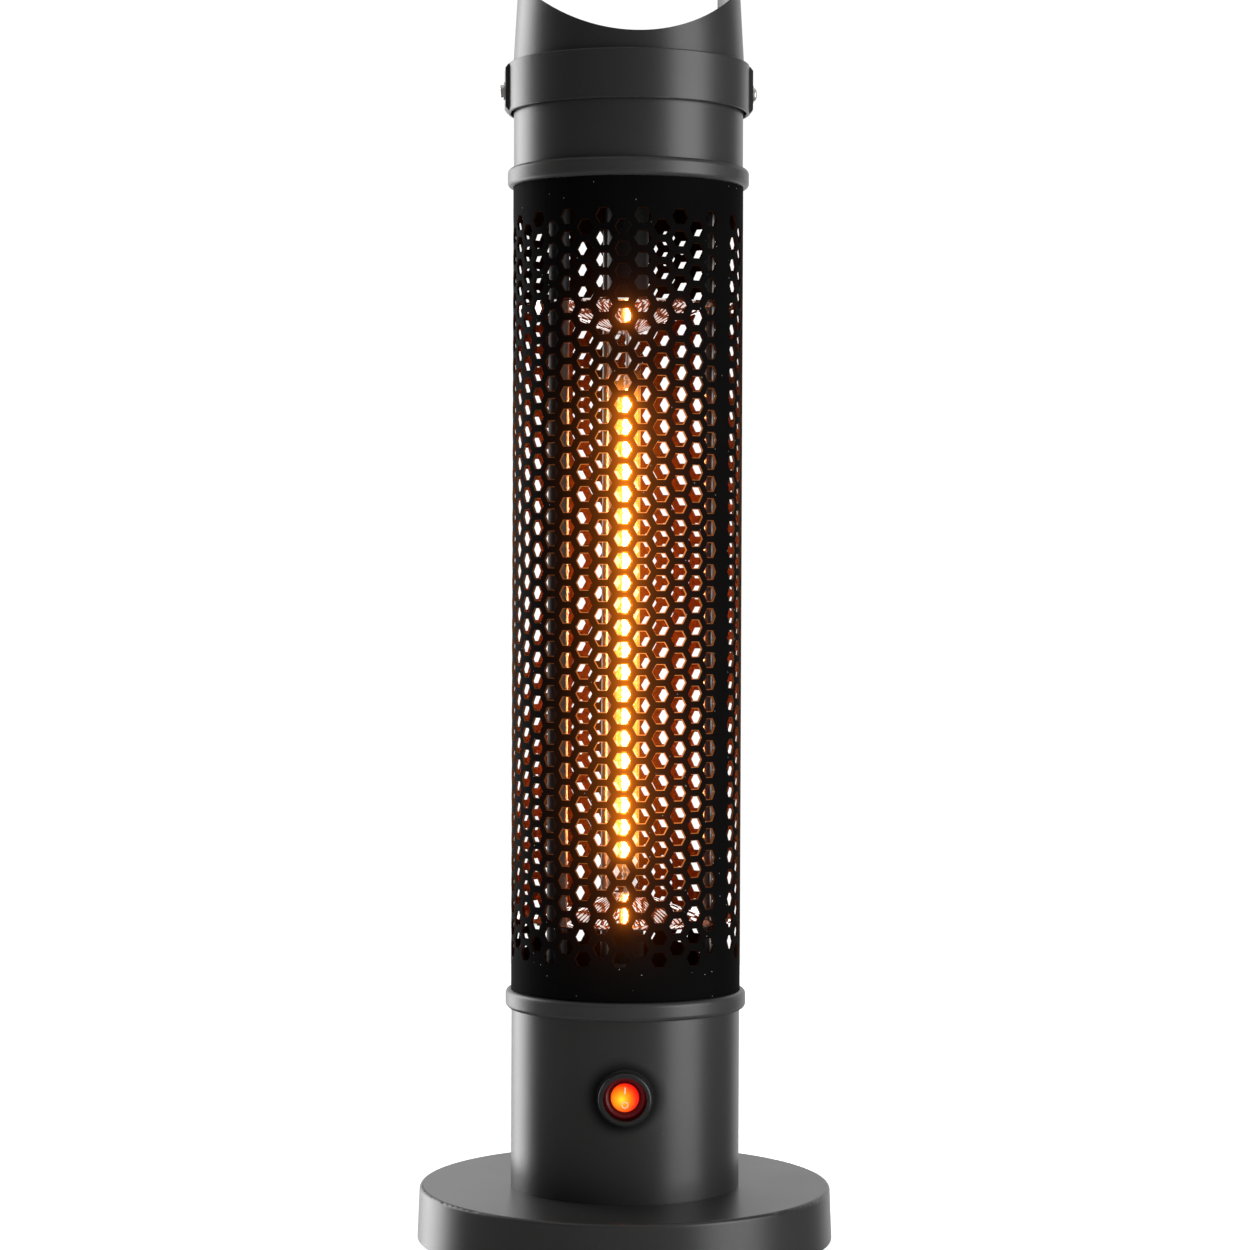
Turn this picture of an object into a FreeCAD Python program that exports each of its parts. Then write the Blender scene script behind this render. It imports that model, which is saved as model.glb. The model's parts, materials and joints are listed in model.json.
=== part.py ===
import FreeCAD, Part
import math
import os
import Sketcher
from FreeCAD import Placement, Rotation, Vector
from types import SimpleNamespace

# Free-standing electric patio heater: a round weighted base, a lower tube with a lit rocker switch,
# a perforated tube round an upright quartz element, and a head with a scooped carrying handle.
# Millimetres and degrees. The origin is on the floor under the tube's axis, +Z is up and the front is -Y.

SIZES = [
    ("ground_gap", 2.5, "height of the rubber feet under the base"),
    ("base_radius", 103.5, "base disc at its lower edge"),
    ("base_draft", 1.0, "narrowing of the base towards its top"),
    ("base_height", 26.0, "base disc without its feet"),
    ("base_wall", 1.5, "pressed sheet of the base"),
    ("base_round", 2.0, "rounding of the upper rim of the base"),
    ("base_bore", 22.0, "wire passage up the middle of the base"),
    ("weight_gap", 1.0, "room between the weight and the base wall"),
    ("cover_thick", 1.5, "bottom cover sheet"),
    ("pad_radius", 9.0, "rubber foot"),
    ("pad_web", 0.8, "rubber under the head of a foot screw"),
    ("pad_round", 0.8, "rounding of a rubber foot"),
    ("pad_inset", 21.5, "rubber feet in from the lower edge of the base"),
    ("fix_shank", 2.0, "shank radius of the small screws"),
    ("fix_head", 3.3, "head radius of the small screws"),
    ("fix_head_high", 1.4, "head height of the small screws"),
    ("fix_length", 10.0, "shank length of the foot screws"),
    ("bolt_shank", 2.5, "shank radius of the tube foot screws"),
    ("bolt_head", 4.25, "head radius of the tube foot screws"),
    ("bolt_head_high", 4.0, "head height of the tube foot screws"),
    ("bolt_circle", 38.0, "circle of the tube foot screws"),
    ("bolt_sink", 8.0, "depth of the counterbores in the weight"),
    ("thread_gap", 0.05, "radial clearance of threads and close fits"),
    ("running_gap", 0.08, "radial clearance of moving pins and plungers"),
    ("hole_gap", 0.3, "radial clearance of drilled holes"),
    ("part_gap", 0.3, "clearance between neighbouring pieces"),
    ("tube_radius", 57.0, "outside of the lower tube and of the head tube"),
    ("tube_wall", 1.2, "tube sheet"),
    ("lower_tube_high", 92.6, "lower tube"),
    ("flange_thick", 4.0, "flange of the tube foot"),
    ("flange_bore", 24.0, "opening of the tube foot"),
    ("collar_wall", 2.0, "upright wall of the tube foot"),
    ("collar_high", 12.0, "upright wall of the tube foot above its flange"),
    ("ring_high", 9.2, "trim rings"),
    ("ring_proud", 3.0, "how far the trim rings stand out from the tubes"),
    ("ring_web", 1.5, "web of a trim ring between tube and grille"),
    ("ring_lip", 3.7, "how far the web reaches inside the tubes"),
    ("ring_round", 2.4, "rounding of the trim rings"),
    ("round_edge", 0.2, "least flat edge left beside a rounding"),
    ("grille_proud", 0.2, "grille outside the line of the tubes"),
    ("grille_sheet", 1.0, "grille sheet"),
    ("grille_length", 406.2, "grille between the two webs"),
    ("hole_flats", 7.6, "hexagonal hole across its flats, at the outside"),
    ("hole_bridge", 3.11, "metal between two holes, at the outside"),
    ("hole_taper", 0.35, "how far each side of a hole draws in towards the inside of the sheet"),
    ("column_step", 9.464, "from one column of holes to the next, round the grille"),
    ("seam_blank", 6.0, "least width of the unpunched seam"),
    ("seam_angle", 54.5, "place of the seam, from the front towards the right"),
    ("lower_blank", 20.6, "unpunched band at the lower end of the grille"),
    ("upper_blank", 17.0, "least unpunched band at the upper end of the grille"),
    ("plate_thick", 1.5, "lower and upper bulkhead sheet"),
    ("plate_rim", 14.0, "upright rim of the upper bulkhead"),
    ("rod_radius", 2.5, "tie rods"),
    ("rod_inset", 10.2, "tie rods and conduit in from the grille"),
    ("left_rod_angle", 193.0, "left tie rod, from the front towards the right"),
    ("right_rod_angle", 61.0, "right tie rod, from the front towards the right"),
    ("rod_end", 2.0, "rod beyond its nut"),
    ("nut_flats", 8.0, "rod nut across its flats"),
    ("nut_high", 4.0, "rod nut"),
    ("collar_radius", 5.5, "push-on collars of the reflectors"),
    ("collar_thick", 1.2, "push-on collars of the reflectors"),
    ("conduit_angle", -47.0, "wire conduit, from the front towards the right"),
    ("conduit_radius", 5.0, "wire conduit"),
    ("conduit_wall", 0.8, "wire conduit"),
    ("mirror_gap", 1.7, "rim of the cone reflectors in from the grille"),
    ("mirror_rim", 14.5, "flat rim of the reflectors, outside their cones"),
    ("mirror_sheet", 0.8, "reflector sheet"),
    ("mirror_rise", 12.8, "height of the cones"),
    ("lower_mirror_lift", 36.9, "lower reflector above the lower bulkhead"),
    ("upper_mirror_drop", 63.2, "upper reflector below the upper web"),
    ("quartz_radius", 6.5, "quartz tube"),
    ("quartz_wall", 1.2, "quartz tube"),
    ("filament_radius", 2.3, "carbon filament rope"),
    ("filament_lift", 14.9, "filament above the tip of the lower cone"),
    ("filament_drop", 27.9, "filament below the tip of the upper cone"),
    ("lead_radius", 0.9, "filament leads"),
    ("clamp_radius", 1.9, "crimped clamp at each end of the filament"),
    ("clamp_length", 9.0, "crimped clamp at each end of the filament"),
    ("cap_radius", 9.0, "ceramic caps"),
    ("cap_high", 32.7, "lower ceramic cap"),
    ("cap_socket", 12.0, "depth of the quartz tube in a cap"),
    ("cup_wall", 1.2, "sheet of the element cups"),
    ("cup_high", 14.0, "lower element cup"),
    ("sleeve_high", 58.0, "upper element sleeve"),
    ("cup_flange", 5.0, "flange of the element cups beyond their wall"),
    ("lead_hole", 4.0, "hole for the leads in cups and bulkheads"),
    ("cutout_radius", 8.0, "thermal cut-out"),
    ("cutout_high", 9.0, "thermal cut-out"),
    ("cutout_circle", 30.0, "place of the thermal cut-out"),
    ("cutout_angle", 125.0, "place of the thermal cut-out"),
    ("head_high", 54.15, "head tube"),
    ("shell_wall", 1.0, "handle shell sheet"),
    ("skirt_depth", 27.5, "handle shell inside the head tube"),
    ("shell_step", 0.5, "handle shell outside the line of the head tube"),
    ("shell_taper", 3.4, "slope of the handle shell"),
    ("scoop_radius", 66.0, "round edge of the hand gap"),
    ("scoop_lift", 10.0, "lowest point of the hand gap above the head tube"),
    ("ear_depth", 10.5, "hand gap in from the outside of the handle, at each side"),
    ("grip_lift", 47.5, "grip axis above the head tube"),
    ("grip_radius", 11.0, "grip bar"),
    ("grip_collar", 1.2, "raised end collars of the grip"),
    ("grip_collar_long", 5.0, "raised end collars of the grip"),
    ("grip_screw_long", 14.0, "shank length of the grip screws"),
    ("lid_thick", 1.5, "head lid"),
    ("handle_turn", 4.0, "the handle is turned a little to the right"),
    ("band_gap", 1.8, "gap between the head tube and the handle band"),
    ("band_wall", 1.2, "handle band sheet"),
    ("band_high", 24.0, "handle band"),
    ("band_lift", 1.3, "top of the band above the head tube"),
    ("band_round", 0.5, "rounding of the band edges"),
    ("lug_proud", 1.5, "side pads outside the band"),
    ("lug_width", 14.0, "side pads of the band"),
    ("lug_bevel", 2.4, "sloping top and bottom of the side pads"),
    ("side_screw_drop", 12.0, "side screws below the top of the head tube"),
    ("side_head", 3.2, "head radius of the side screws"),
    ("side_head_high", 1.9, "head height of the side screws"),
    ("side_head_round", 1.33, "rounding of the side screw heads"),
    ("side_screw_long", 13.0, "shank length of the side screws"),
    ("washer_radius", 4.4, "washers of the side screws"),
    ("washer_thick", 0.8, "washers of the side screws"),
    ("side_nut_flats", 7.0, "nuts of the side screws"),
    ("side_nut_high", 3.2, "nuts of the side screws"),
    ("switch_height", 80.4, "middle of the switch above the floor"),
    ("bezel_radius", 12.9, "switch collar"),
    ("bezel_bore", 10.6, "opening of the switch collar"),
    ("bezel_proud", 4.6, "switch collar in front of its gasket"),
    ("bezel_round", 1.2, "rounding of the switch collar"),
    ("gasket_radius", 13.8, "saddle gasket behind the switch collar"),
    ("gasket_proud", 1.4, "gasket in front of the tube"),
    ("barrel_radius", 11.8, "switch barrel"),
    ("barrel_long", 18.4, "switch barrel behind the gasket face"),
    ("barrel_floor", 10.0, "solid rear part of the barrel"),
    ("latch_width", 5.0, "snap latches of the switch"),
    ("latch_proud", 1.2, "snap latches of the switch"),
    ("latch_long", 5.0, "snap latches of the switch"),
    ("blade_wide", 4.8, "switch terminals"),
    ("blade_thick", 0.8, "switch terminals"),
    ("blade_long", 8.0, "switch terminals"),
    ("blade_pitch", 7.0, "spacing of the switch terminals"),
    ("rocker_radius", 9.9, "rocker"),
    ("rocker_back", 1.5, "rocker behind its pivot"),
    ("rocker_front", 4.3, "rocker in front of its pivot"),
    ("rocker_round", 0.8, "rounding of the rocker"),
    ("rocker_tilt", 6.0, "tilt of the rocker to each side"),
    ("pivot_depth", 4.4, "rocker pivot behind the gasket face"),
    ("pivot_radius", 1.2, "rocker pivot pins"),
    ("pivot_reach", 0.9, "length of a pivot pin in the barrel wall"),
    ("lens_radius", 6.85, "lit lens on the rocker"),
    ("lens_thick", 0.9, "lit lens on the rocker"),
    ("lens_round", 0.5, "rounding of the lens"),
    ("mark_thick", 0.15, "raised I and O marks"),
    ("bar_long", 3.7, "I mark"),
    ("bar_wide", 0.9, "I mark"),
    ("ring_mark", 1.65, "outer radius of the O mark"),
    ("mark_line", 0.55, "line of the O mark"),
    ("bar_lift", 3.0, "I mark above the middle"),
    ("ring_drop", 2.9, "O mark below the middle"),
    ("lamp_radius", 2.0, "indicator lamp"),
    ("lamp_high", 1.8, "indicator lamp"),
    ("gland_lift", 3.0, "nut of the cord gland above the tube foot"),
    ("gland_bore", 4.0, "way through the cord gland"),
    ("gland_sleeve", 7.0, "threaded sleeve of the gland"),
    ("gland_flange", 9.5, "flange of the gland"),
    ("gland_flange_thick", 3.0, "flange of the gland"),
    ("gland_cap", 8.0, "domed cap of the gland"),
    ("gland_cap_long", 8.0, "domed cap of the gland"),
    ("gland_taper", 1.2, "narrowing of the gland's cap"),
    ("gland_nut_high", 3.2, "nut of the gland"),
    ("gland_nut_flats", 18.0, "nut of the gland across its flats"),
    ("block_deep", 16.0, "terminal block"),
    ("block_wide", 28.0, "terminal block"),
    ("block_high", 15.0, "terminal block"),
    ("block_inset", 19.8, "middle of the terminal block in from the tube's bore"),
    ("block_back", 6.0, "middle of the terminal block, to the back"),
    ("wire_radius", 1.5, "inner wires"),
    ("wire_bend", 7.0, "bends of the inner wires"),
    ("wire_drop", 10.5, "straight reach of a wire end before its first bend"),
    ("tip_radius", 13.0, "tip-over switch housing"),
    ("tip_high", 18.0, "tip-over switch housing"),
    ("tip_roof", 3.0, "roof of the tip-over switch housing"),
    ("plunger_radius", 3.5, "plunger of the tip-over switch"),
    ("plunger_flange", 5.2, "flange of the plunger"),
    ("plunger_flange_thick", 1.5, "flange of the plunger"),
    ("plunger_travel", 4.0, "way of the plunger when the heater is lifted"),
    ("plunger_stem", 2.0, "spring guide of the plunger"),
    ("plunger_over", 1.5, "way of the plunger beyond standing"),
    ("plunger_round", 1.0, "rounding of the plunger tip"),
    ("spring_wall", 1.6, "sleeve that stands for the plunger spring"),
]

doc = FreeCAD.newDocument("patio_heater")
sheet = doc.addObject("Spreadsheet::Sheet", "sizes")
for row, (alias, number, note) in enumerate(SIZES, 1):
    sheet.set(f"A{row}", note)
    sheet.set(f"B{row}", str(number))
    sheet.setAlias(f"B{row}", alias)
doc.recompute()


class Size:
    """A size worked out from the sheet: its formula over the cells, and its value now."""

    def __init__(self, formula, value):
        self.formula = formula
        self.value = value

    def __add__(self, other):
        other = as_size(other)
        return Size(f"({self.formula} + {other.formula})", self.value + other.value)

    def __sub__(self, other):
        other = as_size(other)
        return Size(f"({self.formula} - {other.formula})", self.value - other.value)

    def __mul__(self, other):
        other = as_size(other)
        return Size(f"({self.formula} * {other.formula})", self.value * other.value)

    def __truediv__(self, other):
        other = as_size(other)
        return Size(f"({self.formula} / {other.formula})", self.value / other.value)

    def __radd__(self, other):
        return as_size(other) + self

    def __rsub__(self, other):
        return as_size(other) - self

    def __rmul__(self, other):
        return as_size(other) * self

    def __neg__(self):
        return as_size(0) - self


def as_size(thing):
    return thing if isinstance(thing, Size) else Size(repr(float(thing)), float(thing))


def sine(angle):
    return Size(f"sin({angle.formula})", math.sin(math.radians(angle.value)))


def cosine(angle):
    return Size(f"cos({angle.formula})", math.cos(math.radians(angle.value)))


def tangent(angle):
    return Size(f"tan({angle.formula})", math.tan(math.radians(angle.value)))


def root(square):
    return Size(f"sqrt({square.formula})", math.sqrt(square.value))


def least(one, other):
    return Size(f"min({one.formula}; {other.formula})", min(one.value, other.value))


def around(circle, angle):
    """Place on a circle about the tube's axis, counted from the front towards the right."""
    return {"x": circle * sine(angle), "y": -(circle * cosine(angle))}


d = SimpleNamespace(**{
    alias: Size(f"sizes.{alias}", float(sheet.get(alias))) for alias, _, _ in SIZES
})

# Heights of the stack, from the floor up.
cover_top = d.ground_gap + d.cover_thick
base_top = d.ground_gap + d.base_height
base_under = base_top - d.base_wall
flange_top = base_top + d.flange_thick
lower_tube_top = base_top + d.lower_tube_high
grille_low = lower_tube_top + d.ring_web
grille_high = grille_low + d.grille_length
head_low = grille_high + d.ring_web
head_top = head_low + d.head_high
lower_plate_top = grille_low + d.plate_thick
upper_plate_top = head_low + d.plate_thick
lower_mirror = lower_plate_top + d.lower_mirror_lift
upper_mirror = grille_high - d.upper_mirror_drop
cup_floor = lower_plate_top + d.cup_wall
lower_cap_top = cup_floor + d.cap_high
upper_cap_low = upper_mirror + d.mirror_sheet + d.part_gap
upper_cap_top = head_low - d.cup_wall
filament_low = lower_mirror + d.mirror_rise + d.mirror_sheet + d.filament_lift
filament_high = upper_mirror - d.mirror_rise - d.filament_drop
lower_lead_end = grille_low - d.ring_web
upper_lead_end = upper_plate_top + d.ring_web

# Radii that neighbours share.
tube_bore = d.tube_radius - d.tube_wall
grille_radius = d.tube_radius + d.grille_proud
grille_bore = grille_radius - d.grille_sheet
skirt_radius = tube_bore - d.part_gap
shell_radius = d.tube_radius + d.shell_step
band_bore = d.tube_radius + d.band_gap
band_radius = band_bore + d.band_wall
gasket_face = d.tube_radius + d.gasket_proud
pivot = gasket_face - d.pivot_depth
pad_circle = d.base_radius - d.pad_inset
rod_circle = grille_bore - d.rod_inset
mirror_radius = grille_bore - d.mirror_gap
mirror_cone = mirror_radius - d.mirror_rim
ear_inset = shell_radius - d.ear_depth
block_place = tube_bore - d.block_inset
gland_corner = d.gland_nut_flats / 2 / cosine(as_size(30))
gland_height = flange_top + d.collar_high + d.gland_lift + gland_corner
rods = [around(rod_circle, angle) for angle in (d.left_rod_angle, d.right_rod_angle)]
conduit = around(rod_circle, d.conduit_angle)
quarters = [as_size(angle) for angle in (45, 135, 225, 315)]

nodes = {}


def keep(obj, label):
    """Give a finished piece its name."""
    obj.Label = label
    nodes[label] = obj
    return obj


def bind(obj, path, size):
    obj.setExpression(path, as_size(size).formula)


def put(obj, x=None, y=None, z=None, turn=None):
    """Set where a piece stands, and how it is turned: an axis and an angle."""
    if turn:
        axis, angle = turn
        obj.Placement = Placement(Vector(), Rotation(axis, as_size(angle).value))
        bind(obj, "Placement.Rotation.Angle", angle)
    for letter, size in (("x", x), ("y", y), ("z", z)):
        if size is not None:
            bind(obj, f"Placement.Base.{letter}", size)
    return obj


AXIS_X, AXIS_Y, AXIS_Z = Vector(1, 0, 0), Vector(0, 1, 0), Vector(0, 0, 1)
TO_FRONT = (AXIS_X, 90)
TO_BACK = (Vector(-1, 0, 0), 90)
TO_RIGHT = (AXIS_Y, 90)
TO_LEFT = (Vector(0, -1, 0), 90)


def turned(name, outline):
    """Solid of revolution: an outline of (radius, height) corners turned about the piece's own axis."""
    body = doc.addObject("PartDesign::Body", name)
    plane = next(item for item in body.Origin.OriginFeatures if item.Role == "XZ_Plane")
    sketch = body.newObject("Sketcher::SketchObject", f"{name}_outline")
    sketch.AttachmentSupport = (plane, [""])
    sketch.MapMode = "FlatFace"
    places = [(as_size(radius), as_size(height)) for radius, height in outline]
    corners = [Vector(radius.value, height.value, 0) for radius, height in places]
    count = len(corners)
    sketch.addGeometry([Part.LineSegment(corners[i], corners[(i + 1) % count]) for i in range(count)])
    for i in range(count):
        sketch.addConstraint(Sketcher.Constraint("Coincident", i, 2, (i + 1) % count, 1))
    for i, (radius, height) in enumerate(places):
        for kind, size, axis in (("DistanceX", radius, -2), ("DistanceY", height, -1)):
            if size.value == 0:
                sketch.addConstraint(Sketcher.Constraint("PointOnObject", i, 1, axis))
            else:
                rule = sketch.addConstraint(Sketcher.Constraint(kind, -1, 1, i, 1, size.value))
                bind(sketch, f"Constraints[{rule}]", size)
    turn = body.newObject("PartDesign::Revolution", f"{name}_turn")
    turn.Profile = sketch
    turn.ReferenceAxis = (sketch, ["V_Axis"])
    turn.Angle = 360
    body.Tip = turn
    return body


def rounded(body, rounding, places):
    """Fillet the circular edges of a turned piece that lie at the given (radius, height) places."""
    doc.recompute()
    base = body.Tip
    wanted = [(as_size(radius).value, as_size(height).value) for radius, height in places]
    names = []
    for number, edge in enumerate(base.Shape.Edges, 1):
        if not isinstance(edge.Curve, Part.Circle):
            continue
        spot = edge.Curve.Radius, edge.Curve.Center.z
        if any(math.dist(spot, place) < 1e-4 for place in wanted):
            names.append(f"Edge{number}")
    fillet = body.newObject("PartDesign::Fillet", f"{body.Name}_round")
    fillet.Base = (base, names)
    bind(fillet, "Radius", rounding)
    body.Tip = fillet
    return body


def ring(name, bore, radius, low, high):
    return turned(name, [(bore, low), (radius, low), (radius, high), (bore, high)])


def disc(name, radius, low, high):
    return ring(name, 0, radius, low, high)


def drill(name, radius, length, **place):
    """Plain cylinder, used as a pin or as the tool of a hole."""
    pin = doc.addObject("Part::Cylinder", name)
    bind(pin, "Radius", radius)
    bind(pin, "Height", length)
    return put(pin, **place)


def block(name, x_size, y_size, z_size, **place):
    box = doc.addObject("Part::Box", name)
    for side, size in (("Length", x_size), ("Width", y_size), ("Height", z_size)):
        bind(box, side, size)
    return put(box, **place)


def hexagon(name, flats, height, **place):
    prism = doc.addObject("Part::Prism", name)
    prism.Polygon = 6
    bind(prism, "Circumradius", flats / 2 / cosine(as_size(30)))
    bind(prism, "Height", height)
    return put(prism, **place)


def together(kind, name, pieces):
    whole = doc.addObject(kind, name)
    whole.Shapes = pieces
    return whole


def cut(name, base, *tools):
    result = doc.addObject("Part::Cut", name)
    result.Base = base
    result.Tool = tools[0] if len(tools) == 1 else together("Part::MultiFuse", f"{name}_tools", list(tools))
    return result


def copies(name, piece, places):
    """Group of like solids: one link to the piece for each place."""
    group = doc.addObject("Part::Compound", name)
    links = []
    for number, place in enumerate(places, 1):
        link = doc.addObject("App::Link", f"{name}_{number}")
        link.LinkedObject = piece
        links.append(put(link, **place))
    group.Links = links
    return group


def quarter_places(circle):
    return [around(circle, angle) for angle in quarters]


def holes(name, radius, length, places, z):
    """Upright hole tools, one at each place."""
    return [drill(f"{name}_{i}", radius, length, z=z, **place) for i, place in enumerate(places, 1)]


def make_base():
    pads = quarter_places(pad_circle)
    bolts = quarter_places(d.bolt_circle)
    fix_hole = d.fix_shank + d.hole_gap
    bolt_hole = d.bolt_shank + d.hole_gap
    top_radius = d.base_radius - d.base_draft

    shell = turned("base_dish", [
        (d.base_radius, d.ground_gap),
        (top_radius, base_top),
        (d.base_bore, base_top),
        (d.base_bore, base_under),
        (top_radius - d.base_wall, base_under),
        (d.base_radius - d.base_wall, d.ground_gap),
    ])
    rounded(shell, d.base_round, [(top_radius, base_top)])
    keep(cut("base_dish_drilled", shell, *holes("dish_hole", bolt_hole, d.base_height, bolts, cover_top)),
         "base_shell")

    weight = ring("weight_ring", d.base_bore, top_radius - d.base_wall - d.weight_gap, cover_top, base_under)
    tools = holes("weight_hole", bolt_hole, d.base_height, bolts, cover_top)
    tools += holes("weight_sink", d.bolt_head + d.hole_gap, d.bolt_sink, bolts, cover_top)
    tools += holes("weight_pilot", d.fix_shank + d.thread_gap, d.fix_length, pads, cover_top)
    keep(cut("weight_drilled", weight, *tools), "base_weight")

    cover = ring("cover_sheet", d.plunger_radius + d.running_gap, d.base_radius - d.base_wall - d.part_gap,
                 d.ground_gap, cover_top)
    keep(cut("cover_drilled", cover, *holes("cover_hole", fix_hole, d.cover_thick, pads, d.ground_gap)),
         "base_bottom_cover")

    web_low = d.ground_gap - d.pad_web
    recess = d.fix_head + d.hole_gap
    pad = turned("rubber_pad", [
        (fix_hole, d.ground_gap),
        (d.pad_radius, d.ground_gap),
        (d.pad_radius, 0),
        (recess, 0),
        (recess, web_low),
        (fix_hole, web_low),
    ])
    rounded(pad, d.pad_round, [(d.pad_radius, 0)])
    keep(copies("rubber_pads", pad, pads), "rubber_feet")

    screw = turned("pad_screw", [
        (0, web_low - d.fix_head_high),
        (d.fix_head, web_low - d.fix_head_high),
        (d.fix_head, web_low),
        (d.fix_shank, web_low),
        (d.fix_shank, web_low + d.fix_length),
        (0, web_low + d.fix_length),
    ])
    keep(copies("pad_screws", screw, pads), "foot_screws")

    head_seat = cover_top + d.bolt_sink
    bolt = turned("flange_bolt", [
        (0, head_seat - d.bolt_head_high),
        (d.bolt_head, head_seat - d.bolt_head_high),
        (d.bolt_head, head_seat),
        (d.bolt_shank, head_seat),
        (d.bolt_shank, flange_top - d.part_gap),
        (0, flange_top - d.part_gap),
    ])
    keep(copies("flange_bolts", bolt, bolts), "tube_foot_screws")


def make_tip_switch():
    chamber = d.plunger_flange + d.running_gap
    chamber_top = cover_top + d.tip_high - d.tip_roof
    keep(turned("tip_housing", [
        (chamber, cover_top),
        (d.tip_radius, cover_top),
        (d.tip_radius, cover_top + d.tip_high),
        (0, cover_top + d.tip_high),
        (0, chamber_top),
        (chamber, chamber_top),
    ]), "tip_switch_housing")

    flange_low = cover_top + d.part_gap + d.plunger_travel
    flange_high = flange_low + d.plunger_flange_thick
    stem_top = chamber_top - d.plunger_over - d.part_gap
    plunger = turned("tip_pin", [
        (0, 0),
        (d.plunger_radius, 0),
        (d.plunger_radius, flange_low),
        (d.plunger_flange, flange_low),
        (d.plunger_flange, flange_high),
        (d.plunger_stem, flange_high),
        (d.plunger_stem, stem_top),
        (0, stem_top),
    ])
    rounded(plunger, d.plunger_round, [(d.plunger_radius, 0)])
    keep(plunger, "tip_plunger")

    spring_bore = d.plunger_stem + d.part_gap
    keep(ring("tip_coil", spring_bore, spring_bore + d.spring_wall, flange_high, chamber_top), "tip_spring")


def make_lower_tube():
    collar = tube_bore - d.thread_gap
    foot = turned("foot_flange", [
        (d.flange_bore, base_top),
        (collar, base_top),
        (collar, flange_top + d.collar_high),
        (collar - d.collar_wall, flange_top + d.collar_high),
        (collar - d.collar_wall, flange_top),
        (d.flange_bore, flange_top),
    ])
    tools = holes("flange_tap", d.bolt_shank + d.thread_gap, d.flange_thick, quarter_places(d.bolt_circle),
                  base_top)
    tools += holes("flange_rod", d.rod_radius + d.thread_gap, d.flange_thick, rods, base_top)
    keep(cut("foot_drilled", foot, *tools), "tube_foot")

    tube = ring("lower_sleeve", tube_bore, d.tube_radius, base_top, lower_tube_top)
    switch_hole = drill("switch_hole", d.barrel_radius + d.hole_gap, d.tube_radius + d.part_gap,
                        z=d.switch_height, turn=TO_FRONT)
    gland_hole = drill("gland_hole", d.gland_sleeve + d.hole_gap, d.tube_radius + d.part_gap,
                       z=gland_height, turn=TO_BACK)
    keep(cut("lower_sleeve_cut", tube, switch_hole, gland_hole), "lower_tube")

    keep(block("terminal_box", d.block_deep, d.block_wide, d.block_high,
               x=block_place - d.block_deep / 2, y=d.block_back - d.block_wide / 2, z=flange_top),
         "terminal_block")


def make_gland():
    flange_face = d.tube_radius + d.thread_gap
    cap_low = flange_face + d.gland_flange_thick
    cap_high = cap_low + d.gland_cap_long
    nut_face = root(tube_bore * tube_bore - gland_corner * gland_corner) - d.thread_gap
    sleeve_end = nut_face - d.gland_nut_high - d.part_gap
    keep(put(turned("gland_body", [
        (d.gland_bore, sleeve_end),
        (d.gland_sleeve, sleeve_end),
        (d.gland_sleeve, flange_face),
        (d.gland_flange, flange_face),
        (d.gland_flange, cap_low),
        (d.gland_cap, cap_low),
        (d.gland_cap - d.gland_taper, cap_high),
        (d.gland_bore, cap_high),
    ]), z=gland_height, turn=TO_BACK), "cord_gland")

    nut = hexagon("gland_hex", d.gland_nut_flats, d.gland_nut_high,
                  y=nut_face - d.gland_nut_high, z=gland_height, turn=TO_BACK)
    bore = drill("gland_hex_bore", d.gland_sleeve + d.thread_gap, d.gland_nut_high,
                 y=nut_face - d.gland_nut_high, z=gland_height, turn=TO_BACK)
    keep(cut("gland_hex_cut", nut, bore), "gland_nut")


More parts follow.
